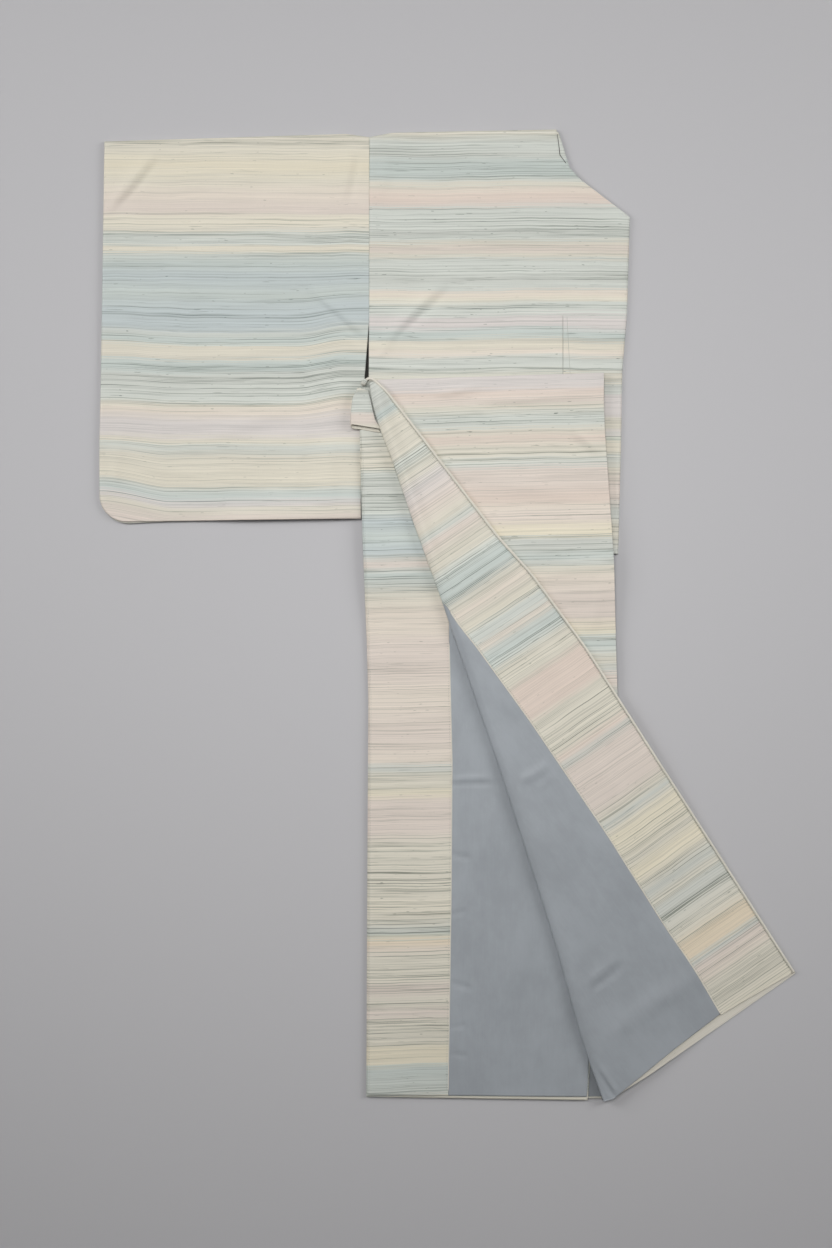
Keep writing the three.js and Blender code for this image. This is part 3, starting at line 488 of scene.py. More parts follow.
def smooth_reader(rows, first, last, reach=14.0):
    """Reads a two-column table as a smooth curve between two places, and as it stands beyond them."""
    straight = table_reader(rows)
    fine = np.arange(rows[0][0], rows[-1][0], 1.0)
    near = np.arange(-2 * reach, 2 * reach + 1)
    weights = np.exp(-((near / reach) ** 2))
    values = straight(fine[:, None] + near[None, :])
    smooth = (values * weights).sum(1) / weights.sum()
    smooth = mix(straight(fine), smooth, rise(fine, first, reach) * rise(fine, last, -reach))

    def read(place):
        inside = (place > fine[0]) & (place < fine[-1])
        return np.where(inside, np.interp(place, fine, smooth), straight(place))

    return read


skirt_left = table_reader(SKIRT_LEFT)
page_right = table_reader(PAGE_RIGHT)
quarter_right = table_reader(QUARTER_RIGHT)
facing_right = table_reader(FACING_RIGHT)
fold_bow = smooth_reader(FOLD_BOW, 10, 950)
page_edge = table_reader(PAGE_EDGE)
flap_edge = smooth_reader(FLAP_EDGE, 20, 868)
facing_inner = smooth_reader(FACING_INNER, 312, 925)
facing_hem = table_reader(FACING_HEM)
lining_hem = table_reader(LINING_HEM)


def bed(y):
    """Height of what the skirt lies on: the top, down to its hem, and then the surface."""
    return (TOP_THICKNESS + GAP) * rise(y, TOP_HEM_Y - BED_SLOPE, BED_SLOPE)


def flap_bed(x, y):
    """Height of the flap's underside: on the page, then sloping down beside it to the surface."""
    past = (x - page_right(y) - FLAP_SLOPE_START) / FLAP_SLOPE
    return (bed(y) + FLAP) * (1 - ease(past))


def from_fold(x, y):
    """Distance along the diagonal fold, and distance from its straight line towards the page."""
    dx, dy = x - FOLD_START[0], y - FOLD_START[1]
    return dx * FOLD_ALONG[0] + dy * FOLD_ALONG[1], dx * FOLD_ACROSS[0] + dy * FOLD_ACROSS[1]


def off_fold(e, d):
    """X and Y of a distance along the diagonal fold and a distance from its straight line."""
    return (FOLD_START[k] + FOLD_ALONG[k] * e + FOLD_ACROSS[k] * d for k in (0, 1))


def creases(x, y, rows, strength=1.0):
    """Sum of soft ridges and troughs, each bent a little and fading at its ends."""
    total = np.zeros(np.broadcast(x, y).shape)
    for middle_x, middle_y, direction, length, width, height in rows:
        angle = math.radians(direction)
        lengthwise = (x - middle_x) * math.cos(angle) + (y - middle_y) * math.sin(angle)
        bend = 0.04 * lengthwise * np.sin(lengthwise / length * 2.2 + middle_x)
        crosswise = (y - middle_y) * math.cos(angle) - (x - middle_x) * math.sin(angle) + bend
        fade = ease(1.6 * (1 - np.abs(lengthwise) / length))
        spread = width * (1 + 0.35 * lengthwise / length)
        total += height * fade * np.exp(-((crosswise / spread) ** 2))
    return total * strength


def undulation(x, y, seed, wavelength, height):
    """Slow, uneven rise and fall of cloth that lies loose, as a sum of seven waves."""
    random = np.random.default_rng(seed)
    total = np.zeros(np.broadcast(x, y).shape)
    for _ in range(7):
        angle, phase = random.uniform(0, math.pi), random.uniform(0, TURN)
        length = wavelength * random.uniform(0.6, 1.8)
        total += np.sin((x * math.cos(angle) + y * math.sin(angle)) * TURN / length + phase)
    return total * height / 4


def soft_shape(x, y, crease_rows, lift=0.0, **waves):
    """A panel's creases and slow waves, and how high it lies off what is under it."""
    return creases(x, y, crease_rows, sizes().crease_strength) + undulation(x, y, **waves) + lift


# ---------------------------------------------------------------- meshes


def make_object(name, parts, material):
    """One mesh object from parts of millimetre points, faces of four corners, and one UV for each point."""
    all_points, all_faces, all_uvs, count = [], [], [], 0
    for points, faces, uvs in parts:
        a, b, c, d = (points[faces[:, k]] for k in range(4))
        volume = sum(np.einsum("ij,ij->i", a, np.cross(*pair)).sum() for pair in ((b, c), (c, d)))
        all_faces.append((faces[:, ::-1] if volume < 0 else faces) + count)
        all_points.append(points)
        all_uvs.append(uvs)
        count += len(points)
    points = np.concatenate(all_points)
    points[:, :2] += SHIFT
    faces = np.concatenate(all_faces).astype(np.int32)
    mesh = bpy.data.meshes.new(name)
    mesh.vertices.add(len(points))
    mesh.vertices.foreach_set("co", (points * MM).ravel())
    mesh.loops.add(faces.size)
    mesh.loops.foreach_set("vertex_index", faces.ravel())
    mesh.polygons.add(len(faces))
    mesh.polygons.foreach_set("loop_start", np.arange(0, faces.size, 4, dtype=np.int32))
    mesh.polygons.foreach_set("use_smooth", np.ones(len(faces), bool))
    mesh.update(calc_edges=True)
    mesh.validate()
    layer = mesh.uv_layers.new(name=UV_NAME)
    layer.data.foreach_set("uv", (np.concatenate(all_uvs)[faces.ravel()] * MM).ravel())
    mesh.materials.append(material)
    made = bpy.data.objects.new(name, mesh)
    bpy.context.scene.collection.objects.link(made)
    return made


def grid_faces(rows, cols, start):
    ids = np.arange(rows * cols).reshape(rows, cols) + start
    return np.stack([ids[:-1, :-1], ids[:-1, 1:], ids[1:, 1:], ids[1:, :-1]], -1).reshape(-1, 4)


def unit(vectors):
    return vectors / np.maximum(np.linalg.norm(vectors, axis=-1, keepdims=True), 1e-9)


def closed_cloth(low, high, uv, layers=1, bulge=0.3, steps=4, insets=(0.0,)):
    """A closed shell between two grids of points, whose rim is rounded once for each layer in it."""
    rows, cols = low.shape[:2]
    top = np.arange(cols)
    right = np.arange(1, rows) * cols + cols - 1
    bottom = (rows - 1) * cols + np.arange(cols - 2, -1, -1)
    left = np.arange(rows - 2, 0, -1) * cols
    rim = np.concatenate([top, right, bottom, left])

    middle = ((low + high) / 2).copy()
    middle[..., 2] = 0
    out = np.zeros_like(middle)
    out[0] += unit(middle[0] - middle[1])
    out[-1] += unit(middle[-1] - middle[-2])
    out[:, 0] += unit(middle[:, 0] - middle[:, 1])
    out[:, -1] += unit(middle[:, -1] - middle[:, -2])
    out = unit(out.reshape(-1, 3)[rim])

    low_points = low.reshape(-1, 3)
    high_points = high.reshape(-1, 3)
    low_rim, high_rim = low_points[rim], high_points[rim]
    count = rows * cols
    rings = [rim]
    ring_points = []
    for layer in range(layers):
        inset = insets[layer % len(insets)]
        for step in range(1, steps):
            level = (layer + (1 - math.cos(math.pi * step / steps)) / 2) / layers
            swell = bulge * math.sin(math.pi * step / steps) - inset
            ring_points.append(mix(low_rim, high_rim, level) + out * swell)
        if layer + 1 < layers:
            ring_points.append(mix(low_rim, high_rim, (layer + 1) / layers) - out * (inset + bulge * 0.3))
    for k in range(len(ring_points)):
        rings.append(2 * count + k * len(rim) + np.arange(len(rim)))
    rings.append(rim + count)
    sides = [np.stack([a, np.roll(a, -1), np.roll(b, -1), b], -1) for a, b in zip(rings, rings[1:])]
    high_faces = grid_faces(rows, cols, count)[:, ::-1]
    faces = np.concatenate([grid_faces(rows, cols, 0), high_faces, *sides])
    points = np.concatenate([low_points, high_points, *ring_points])
    flat_uv = uv.reshape(-1, 2)
    uvs = np.concatenate([flat_uv, flat_uv] + [flat_uv[rim]] * len(ring_points))
    return points, faces, uvs


def tube(path, width, height, sides=8):
    """A closed rounded strip along a path of points, tapered at its ends. Its UV is along it and round it."""
    path = np.asarray(path, float)
    along = np.gradient(path, axis=0)
    along /= np.linalg.norm(along, axis=1, keepdims=True)
    across = np.cross(along, np.array([0.0, 0.0, 1.0]))
    across /= np.linalg.norm(across, axis=1, keepdims=True)
    up = np.cross(across, along)
    length = run_along(path)
    width, height = np.broadcast_to(width, len(path)), np.broadcast_to(height, len(path))
    taper = np.sqrt(np.clip(np.minimum(length, length[-1] - length) / width, 0.02, 1))
    angles = np.arange(sides) * TURN / sides
    rings = []
    for angle in angles:
        aside = across * (math.cos(angle) * width / 2 * taper)[:, None]
        rings.append(path + aside + up * (math.sin(angle) * height / 2 * taper)[:, None])
    points = np.stack(rings, 1).reshape(-1, 3)
    ids = np.arange(len(path) * sides).reshape(len(path), sides)
    body = np.stack([ids[:-1], np.roll(ids[:-1], -1, 1), np.roll(ids[1:], -1, 1), ids[1:]], -1).reshape(-1, 4)
    half = sides // 2
    caps = []
    for ring, flip in ((ids[0], 1), (ids[-1], -1)):
        for k in range(half - 1):
            caps.append([ring[k], ring[k + 1], ring[sides - 2 - k], ring[sides - 1 - k]][::flip])
    uv = np.stack([np.repeat(length, sides), np.tile(angles, len(path))], -1)
    return points, np.concatenate([body, caps]), uv


def stitches(path, length=1.7, gap=1.5, width=0.45, height=0.3, first=1.0, arch=0.1):
    """Short stitches along a path of points, each arched a little, as parts of one mesh."""
    run = run_along(path)
    parts = []
    for start in np.arange(first, run[-1] - length, length + gap):
        spots = start + length * np.array([0, 0.5, 1])
        points = np.stack([np.interp(spots, run, path[:, k]) for k in range(3)], -1)
        points[1, 2] += arch
        parts.append(tube(points, width, height, sides=6))
    return parts


# ---------------------------------------------------------------- grids of the flat panels


def places(length, step):
    """Distances along a length, close together near both ends, where cloth rounds off."""
    ends = EDGE_PLACES[EDGE_PLACES < length / 2 - 0.5]
    count = max(2, int(round((length - 2 * ends[-1]) / step)) + 1)
    inner = np.linspace(ends[-1], length - ends[-1], count)
    return np.concatenate([ends[:-1], inner, length - ends[:-1][::-1]])


def without_neighbours(stops, closest=0.08):
    """Sorted stops, without those that all but coincide with the one before."""
    stops = np.unique(stops)
    return stops[np.concatenate([[True], np.diff(stops) > closest])]


def panel_grid(rows, step):
    """A grid of points from an outline's rows, which keeps each of the table's bends."""
    rows = np.asarray(rows, float)
    drops = np.abs(np.diff(rows[:, [1, 3]], axis=0)).max(1)
    table = np.concatenate([[0], np.cumsum(drops)])
    stops = without_neighbours(np.concatenate([places(table[-1], step), table[1:-1]]))
    stops[-1] = table[-1]
    points = np.stack([np.interp(stops, table, rows[:, k]) for k in range(4)], -1)
    left, right = points[:, None, :2], points[:, None, 2:]
    width = np.linalg.norm(right - left, axis=-1).max()
    return left + (right - left) * (places(width, step) / width)[None, :, None]


def sleeve_rows(inset=0.0, below=0.0, below_right=0.0):
    """The sleeve's outline with its rounded lower corner, drawn in at its sides and moved at its hem."""
    hem_y = SLEEVE_HEM["y"] - below
    corner_x = SLEEVE_HEM["left_x"] + inset + SLEEVE_CORNER
    rows = [(lx + inset, ly, rx - inset, ry) for lx, ly, rx, ry in SLEEVE_ROWS]
    rows[0] = (rows[0][0], rows[0][1] - inset, rows[0][2], rows[0][3] - inset)
    last_right_y = SLEEVE_ROWS[-1][3]
    for angle in np.linspace(0, math.pi / 2, 10)[1:]:
        left_x = corner_x - SLEEVE_CORNER * math.cos(angle)
        left_y = hem_y + SLEEVE_CORNER * (1 - math.sin(angle))
        right_y = mix(last_right_y, SLEEVE_HEM["right_y"] - below_right, math.sin(angle))
        rows.append((left_x, left_y, SLEEVE_HEM["right_x"] - inset, right_y))
    return rows


def dip_at_seam(grid):
    """Lowers the shoulder fold to a shallow notch at the sleeve seam."""
    top_y = grid[0, 0, 1]
    near = np.clip(1 - np.abs(grid[..., 0] - SHOULDER_SEAM_X) / SHOULDER_DIP_REACH, 0, 1)
    high = np.clip((grid[..., 1] - top_y + SHOULDER_DIP_HEIGHT) / SHOULDER_DIP_HEIGHT, 0, 1)
    grid = grid.copy()
    grid[..., 1] -= SHOULDER_DIP * near * high
    return grid


def edge_fall(grid, left=(3, 0), right=(3, 0), first=(3, 0), last=(3, 0)):
    """How far cloth rounds off downwards at its edges. Each edge has a reach and a drop."""
    step_across = np.linalg.norm(np.diff(grid, axis=1), axis=2)
    from_left = np.concatenate([np.zeros((len(grid), 1)), np.cumsum(step_across, 1)], 1)
    step_down = np.linalg.norm(np.diff(grid, axis=0), axis=2)
    from_first = np.concatenate([np.zeros((1, grid.shape[1])), np.cumsum(step_down, 0)], 0)
    distances = (from_left, from_left[:, -1:] - from_left, from_first, from_first[-1:] - from_first)
    falls = [drop * rounding(far, reach) for far, (reach, drop) in zip(distances, (left, right, first, last))]
    return np.maximum.reduce(falls)


def heights(grid, z):
    """A flat grid of points, lifted to a height or to one height for each."""
    return np.concatenate([grid, np.broadcast_to(z, grid.shape[:2])[..., None]], -1)


def down_from(grid, top_y, slope=0.0, sag=0.0):
    """UV of a panel: across it, and down from a line that may rise to the right and sag."""
    x, y = grid[..., 0], grid[..., 1]
    return np.stack([x, top_y + slope * x - sag - y], -1)


def waist_y(x):
    """The skirt's waist edge."""
    top = SKIRT_TOP
    return mix(top["left_y"], top["right_y"], (x - top["left_x"]) / (top["right_x"] - top["left_x"]))


def skirt_grid(left_at, right_at, hem, step):
    """Rows of a skirt panel from its sloping waist to its hem, whose left and right ends are given."""
    top = [waist_y(edge(SKIRT_TOP["right_y"])) for edge in (left_at, right_at)]
    length = top[0] - hem[0]
    stops = places(length, step) / length
    left_y, right_y = mix(top[0], hem[0], stops), mix(top[1], hem[1], stops)
    left = np.stack([left_at(left_y), left_y], -1)[:, None]
    right = np.stack([right_at(right_y), right_y], -1)[:, None]
    width = np.linalg.norm(right - left, axis=-1).max()
    return left + (right - left) * (places(width, step) / width)[None, :, None]


# ---------------------------------------------------------------- the diagonal fold
#
# A point of the turned-back cloth has its distance e along the fold's straight line, its distance d from that
# line towards the page, and its length w along the cloth from the fold's outermost line.


def quarter_turn(radius):
    return math.pi * radius / 2


def length_to(e, d, radius):
    """Length along the cloth, from the fold's outermost line to a distance from the fold's straight line."""
    return d - fold_bow(e) - INSIDE_RADIUS - CLOTH / 2 + quarter_turn(radius)


def around_fold(e, w, radius, under_page):
    """Lower and upper points and UV of cloth that turns round the fold.

    w is positive onto the flap and negative under the page. The UV is the place on the unfolded panel.
    """
    centre = fold_bow(e) + INSIDE_RADIUS + CLOTH / 2
    turned = quarter_turn(radius)
    turn = np.clip(w, -turned, turned) / radius
    flat = np.abs(w) > turned
    x, y = off_fold(e, np.where(flat, centre + np.abs(w) - turned, centre - radius * np.cos(turn)))
    faces = []
    for offset in (-CLOTH / 2, CLOTH / 2):
        arc_x, arc_y = off_fold(e, centre - (radius + offset) * np.cos(turn))
        arc_z = bed(y) + FOLD_CENTRE + (radius + offset) * np.sin(turn)
        flap_z = flap_bed(x, y) + FOLD_CENTRE - FLAP + radius + offset
        page_z = bed(y) + under_page + CLOTH / 2 - offset
        z = np.where(w > turned, flap_z, np.where(w < -turned, page_z, arc_z))
        faces.append(np.stack([np.where(flat, x, arc_x), np.where(flat, y, arc_y), z], -1))
    u, unfolded_y = off_fold(e, -w - turned + centre)
    v = PAGE_STRIPES["top_y"] + PAGE_STRIPES["slope"] * u - unfolded_y
    return faces[0], faces[1], np.stack([u, v], -1)


def fold_rows(first, last, step):
    """Places along the fold: closer low down, where edges run steeply across, and one at each edge's bend."""
    found = [*np.arange(first, last, step), last]
    found += [*np.arange(max(first, FINE_ROWS_FROM), last, step / 2)]
    found += [place for place, _ in FLAP_EDGE + PAGE_EDGE if first < place < last]
    return np.unique(np.round(found, 2))


def turn_lengths(flap_end, page_end, radius, flap_steps, page_steps, arc_steps=8):
    """Lengths from the flap's outer edge to the turn, round it, and on under the page, for every row."""
    turned = quarter_turn(radius)
    shares = np.concatenate([[0, 0.003, 0.01, 0.022], np.linspace(0.04, 1, flap_steps)[:-1]])
    flap_part = turned + (flap_end[:, None] - turned) * (1 - shares)
    arc = np.broadcast_to(np.linspace(turned, -turned, arc_steps + 1), (len(flap_end), arc_steps + 1))
    shares = np.concatenate([np.arange(1, page_steps) / page_steps, [0.993, 0.9965, 0.999, 1]])
    page_part = -turned + (page_end[:, None] + turned) * shares
    return np.concatenate([flap_part, arc, page_part], 1)


INSIDE_TURNED = quarter_turn(INSIDE_RADIUS)
INSIDE_END = -INSIDE_TURNED - FOLD_LEG


def seam_length(e):
    """Where the flap facing's inner seam lies along the cloth."""
    start, end = SEAM_WRAP
    flat = length_to(e, facing_inner(e), INSIDE_RADIUS)
    at_end = length_to(end, facing_inner(end), INSIDE_RADIUS)
    wrap = mix(INSIDE_END, at_end, np.clip((e - start) / (end - start), 0, 1))
    return np.where(e >= end, flat, wrap)


def clear_of_fold(x, y):
    """1 well to the left of the diagonal fold, 0 beneath the page."""
    e, d = from_fold(x, y)
    return rise(fold_bow(e) - d, 5, 22)


# ---------------------------------------------------------------- materials


def linear(colour):
    """A colour in screen values from 0 to 255, as linear light."""
    values = np.asarray(colour, float) / 255
    return tuple(np.where(values <= 0.04045, values / 12.92, ((values + 0.055) / 1.055) ** 2.4))


class Nodes:
    """Adds nodes to a tree in short lines, and joins them."""

    def __init__(self, tree):
        self.tree = tree

    def add(self, kind, inputs=(), **settings):
        node = self.tree.nodes.new(kind)
        for key, value in settings.items():
            setattr(node, key, value)
        for key, value in dict(inputs).items():
            self.feed(node.inputs[key], value)
        return node

    def feed(self, socket, value):
        if isinstance(value, bpy.types.NodeSocket):
            self.tree.links.new(value, socket)
        else:
            socket.default_value = value

    def math(self, operation, a, b=0.0, clamp=False):
        node = self.tree.nodes.new("ShaderNodeMath")
        node.operation = operation
        node.use_clamp = clamp
        self.feed(node.inputs[0], a)
        self.feed(node.inputs[1], b)
        return node.outputs[0]

    def scaled(self, vector, scale, shift=(0.0, 0.0, 0.0)):
        node = self.tree.nodes.new("ShaderNodeMapping")
        node.inputs["Scale"].default_value = scale
        node.inputs["Location"].default_value = shift
        self.feed(node.inputs["Vector"], vector)
        return node.outputs[0]

    def noise(self, vector, detail=2.0, roughness=0.5):
        inputs = {"Vector": vector, "Scale": 1.0, "Detail": detail, "Roughness": roughness}
        return self.add("ShaderNodeTexNoise", inputs, noise_dimensions="3D").outputs["Fac"]

    def noises(self, vector, table):
        """Named noises on one vector, from rows of stretch, place, detail and roughness."""
        return {
            name: self.noise(self.scaled(vector, scale, shift), detail, roughness)
            for name, (scale, shift, detail, roughness) in table.items()
        }

    def total(self, base, *terms):
        """A base plus a share of each value."""
        for value, share in terms:
            base = self.math("ADD", base, self.math("MULTIPLY", value, share))
        return base

    def swing(self, value, around, share):
        """A value's difference from a middle, times a share."""
        return self.math("MULTIPLY", self.math("SUBTRACT", value, around), share)

    def step(self, value, low, high):
        inputs = {"Value": value, "From Min": low, "From Max": high}
        return self.add("ShaderNodeMapRange", inputs, interpolation_type="SMOOTHSTEP").outputs["Result"]

    def blend(self, factor, a, b, kind="MIX"):
        node = self.tree.nodes.new("ShaderNodeMix")
        node.data_type = "RGBA"
        node.blend_type = kind
        self.feed(node.inputs[0], factor)
        self.feed(node.inputs[6], a)
        self.feed(node.inputs[7], b)
        return node.outputs[2]


def group_tree(name, inputs, outputs):
    """A new shader node group, with its named inputs and outputs."""
    tree = bpy.data.node_groups.new(name, "ShaderNodeTree")
    for label, kind in inputs:
        tree.interface.new_socket(label, in_out="INPUT", socket_type=kind)
    for label, kind in outputs:
        tree.interface.new_socket(label, in_out="OUTPUT", socket_type=kind)
    nodes = Nodes(tree)
    return tree, nodes, nodes.add("NodeGroupInput").outputs, nodes.add("NodeGroupOutput").inputs


# The weave's noises: stretch across and down the cloth for each metre, place, detail, roughness.
WEAVE_NOISES = {
    "threads": ((4, 760, 1), (0, 0, 0), 3.0, 0.65),
    "fine_threads": ((14, 1500, 1), (7, 3, 8), 2.0, 0.6),
    "groups": ((2.5, 70, 1), (1, 5, 9), 1.0, 0.5),
    "slubs": ((30, 700, 1), (8, 2, 5), 1.0, 0.5),
    "flecks": ((120, 760, 1), (4, 4, 1), 0.0, 0.5),
    "warp": ((1500, 240, 1), (2, 9, 6), 1.0, 0.5),
}
THIN_YARNS = {"per_metre": 560.0, "half_width": 0.46, "weakest": 0.0, "seed": 3.0}
STRONG_YARNS = {"per_metre": 300.0, "half_width": 0.22, "weakest": 0.2, "seed": 41.0}


def dark_yarns(n, cloth, per_metre, half_width, weakest, seed):
    """Thin straight lines at even places, each of its own strength, which fade in and out along it."""
    place = n.add("ShaderNodeSeparateXYZ", {"Vector": cloth})
    row = n.math("MULTIPLY", place.outputs["Y"], per_metre)
    number = n.math("ADD", n.math("FLOOR", row), seed)
    aside = n.math("ABSOLUTE", n.math("SUBTRACT", n.math("FRACT", row), 0.5))
    own = n.add("ShaderNodeTexWhiteNoise", {"W": number}, noise_dimensions="1D").outputs["Value"]
    along, between = n.math("MULTIPLY", place.outputs["X"], 9.0), n.math("MULTIPLY", number, 3.7)
    fade = n.noise(n.add("ShaderNodeCombineXYZ", {"X": along, "Y": between, "Z": seed}).outputs[0], 2.0)
    line = n.math("SUBTRACT", 1.0, n.step(aside, 0.0, half_width))
    shown = n.math("ADD", n.step(fade, 0.36, 0.62), 0.25)
    return n.math("MULTIPLY", line, n.math("MULTIPLY", n.step(own, weakest, 1.0), shown))


def slub_cloth_group():
    """Threads of a slub weave on a band colour: fine streaks, many thin darker lines and a few slubs."""
    name = "slub_cloth"
    if name in bpy.data.node_groups:
        return bpy.data.node_groups[name]
    tree, n, given, result = group_tree(
        name,
        [("Cloth", "NodeSocketVector"), ("Band Colour", "NodeSocketColor"), ("Lines", "NodeSocketFloat"),
         ("Line Tint", "NodeSocketColor")],
        [("Colour", "NodeSocketColor"), ("Roughness", "NodeSocketFloat"), ("Height", "NodeSocketFloat")],
    )
    cloth, asked = given["Cloth"], given["Lines"]
    noise = n.noises(cloth, WEAVE_NOISES)

    grouped = n.total(0.55, (n.step(noise["groups"], 0.32, 0.62), 0.7))
    yarns = n.math("ADD", dark_yarns(n, cloth, **THIN_YARNS), dark_yarns(n, cloth, **STRONG_YARNS))
    lines = n.math("MULTIPLY", yarns, n.math("MULTIPLY", n.math("ADD", asked, 0.06), grouped))
    slubs = n.math("MULTIPLY", n.step(noise["slubs"], 0.70, 0.77), n.math("ADD", asked, 0.15))
    flecks = n.math("MULTIPLY", n.step(noise["flecks"], 0.82, 0.86), n.math("ADD", asked, 0.3))
    dark = n.math("ADD", n.total(lines, (slubs, 0.6)), flecks, clamp=True)

    lightness = n.total(
        0.655, (noise["threads"], 0.36), (noise["fine_threads"], 0.24), (asked, 0.12), (noise["warp"], 0.05)
    )
    light_colour = n.add("ShaderNodeCombineColor", {"Red": lightness, "Green": lightness, "Blue": lightness})
    streaked = n.blend(1.0, given["Band Colour"], light_colour.outputs[0], "MULTIPLY")
    n.feed(result["Colour"], n.blend(dark, streaked, n.blend(1.0, streaked, given["Line Tint"], "MULTIPLY")))
    n.feed(result["Roughness"], n.total(0.68, (noise["threads"], 0.16)))
    raised = n.math("MULTIPLY", noise["threads"], 0.6)
    n.feed(result["Height"], n.total(raised, (noise["warp"], 0.35), (dark, 0.4)))
    return tree


RAMP_ROWS = 32


def stripe_ramp(nodes, place, chart, length):
    """The chart of a cloth's bands as colour and amount of dark lines. Ramps share their end rows."""
    found = None
    for start in range(0, len(chart) - 1, RAMP_ROWS - 1):
        rows = chart[start : start + RAMP_ROWS]
        ramp = nodes.tree.nodes.new("ShaderNodeValToRGB")
        elements = ramp.color_ramp.elements
        while len(elements) > 1:
            elements.remove(elements[-1])
        for k, (down, colour, lines) in enumerate(rows):
            stop = elements[0] if k == 0 else elements.new(min(down / length, 1.0))
            stop.position = min(down / length, 1.0)
            stop.color = (*linear(PALETTE[colour]), lines)
        nodes.feed(ramp.inputs[0], place)
        if found is None:
            found = ramp.outputs["Color"], ramp.outputs["Alpha"]
            continue
        beyond = nodes.math("GREATER_THAN", place, rows[0][0] / length)
        apart = nodes.math("SUBTRACT", ramp.outputs["Alpha"], found[1])
        found = (
            nodes.blend(beyond, found[0], ramp.outputs["Color"]),
            nodes.math("ADD", found[1], nodes.math("MULTIPLY", apart, beyond)),
        )
    return found


def wandering(n, plain, seed):
    """A cloth's place across and down, whose threads run a little unevenly."""
    split = n.add("ShaderNodeSeparateXYZ", {"Vector": plain})
    wide = n.noise(n.scaled(plain, (6, 4, 1), (seed * 0.9, seed * 2.3, 1)), 1.0)
    near = n.noise(n.scaled(plain, (24, 12, 1), (seed * 1.3, 4, seed)), 1.0)
    down = n.math("ADD", split.outputs["Y"], n.swing(wide, 0.5, 0.007))
    down = n.math("ADD", down, n.swing(near, 0.5, 0.0022))
    across = n.math("ADD", split.outputs["X"], seed * 0.37)
    return n.add("ShaderNodeCombineXYZ", {"X": across, "Y": down, "Z": seed * 1.7}).outputs[0], down


def cloth_coordinates(n):
    """The place on the flat cloth, in metres, from the piece's own UV map."""
    return n.add("ShaderNodeUVMap", uv_map=UV_NAME).outputs[0]


def finished_surface(n, colour, roughness, height, relief, specular, sheen):
    """The shader of a cloth. relief is the bump's strength and depth, sheen its weight and roughness."""
    bump = n.add("ShaderNodeBump", {"Strength": relief[0], "Distance": relief[1], "Height": height})
    shader = n.add("ShaderNodeBsdfPrincipled", {
        "Base Color": colour, "Roughness": roughness, "Normal": bump.outputs[0],
        "Specular IOR Level": specular, "Sheen Weight": sheen[0], "Sheen Roughness": sheen[1],
    })
    n.add("ShaderNodeOutputMaterial", {"Surface": shader.outputs[0]})


def woven_surface(n, cloth, band_colour, lines):
    """The shared slub weave, with a band colour and an amount of dark lines, on a dry matt cloth."""
    given = {"Cloth": cloth, "Band Colour": band_colour, "Lines": lines, "Line Tint": (*LINE_TINT, 1)}
    weave = n.add("ShaderNodeGroup", node_tree=slub_cloth_group())
    for label, value in given.items():
        n.feed(weave.inputs[label], value)
    colour, roughness, height = (weave.outputs[label] for label in ("Colour", "Roughness", "Height"))
    finished_surface(n, colour, roughness, height, relief=(0.3, 0.0004), specular=0.25, sheen=(0.08, 0.5))


def empty_material(name):
    """A new material without nodes, and what adds them."""
    material = bpy.data.materials.new(name)
    material.use_nodes = True
    material.node_tree.nodes.clear()
    return material, Nodes(material.node_tree)


def striped_cloth(name, chart, length, seed, blur=0.020):
    """Striped slub cloth: the panel's own chart, streaked at the bands' edges, with the shared weave."""
    material, n = empty_material(name)
    cloth, down = wandering(n, cloth_coordinates(n), seed)
    streaks = n.noise(n.scaled(cloth, (4, 800, 1)), 2.0, 0.6)
    patches = n.noise(n.scaled(cloth, (5, 34, 1), (5, 1, 3)), 1.0)
    down = n.math("ADD", down, n.swing(streaks, 0.5, blur))
    down = n.math("ADD", down, n.swing(patches, 0.5, 0.008))
    woven_surface(n, cloth, *stripe_ramp(n, n.math("DIVIDE", down, length * MM), chart, length))
    return material


SATIN_NOISES = {
    "broad": ((9, 6, 1), (0, 0, 0), 2.0, 0.5),
    "mottle": ((70, 40, 1), (2, 2, 2), 3.0, 0.6),
    "streaks": ((460, 26, 1), (0, 0, 0), 2.0, 0.5),
    "twill": ((1400, 1400, 1), (0, 0, 0), 0.0, 0.5),
}


def satin_lining(name, colour=LINING_COLOUR):
    """Smooth grey lining satin: fine twill, a soft mottling and a soft sheen."""
    if name in bpy.data.materials:
        return bpy.data.materials[name]
    material, n = empty_material(name)
    noise = n.noises(cloth_coordinates(n), SATIN_NOISES)
    shares = ((noise["broad"], 0.6), (noise["mottle"], 0.3), (noise["streaks"], 0.1))
    dark, light = ([*(share * c for c in linear(colour)), 1] for share in (0.93, 1.07))
    mottled = n.blend(n.step(n.total(0.0, *shares), 0.36, 0.64), dark, light)
    height = n.total(0.0, (noise["twill"], 0.6), (noise["streaks"], 0.25))
    rough = n.total(0.42, (noise["broad"], 0.12))
    finished_surface(n, mottled, rough, height, relief=(0.1, 0.0002), specular=0.4, sheen=(0.15, 0.35))
    return material


def plain_cloth(name, colour):
    """Unstriped cloth of edges, turnings and hidden layers, and the dark weave of painted shade, in the same
    slub weave.
    """
    if name in bpy.data.materials:
        return bpy.data.materials[name]
    material, n = empty_material(name)
    woven_surface(n, cloth_coordinates(n), (*linear(colour), 1), 0.12)
    return material


def plain_surface(name, colour, roughness):
    """An even matt material."""
    material = bpy.data.materials.new(name)
    material.use_nodes = True
    shader = material.node_tree.nodes["Principled BSDF"]
    shader.inputs["Base Color"].default_value = (*linear(colour), 1)
    shader.inputs["Roughness"].default_value = roughness
    shader.inputs["Specular IOR Level"].default_value = 0.2
    return material


# ---------------------------------------------------------------- what a user may change


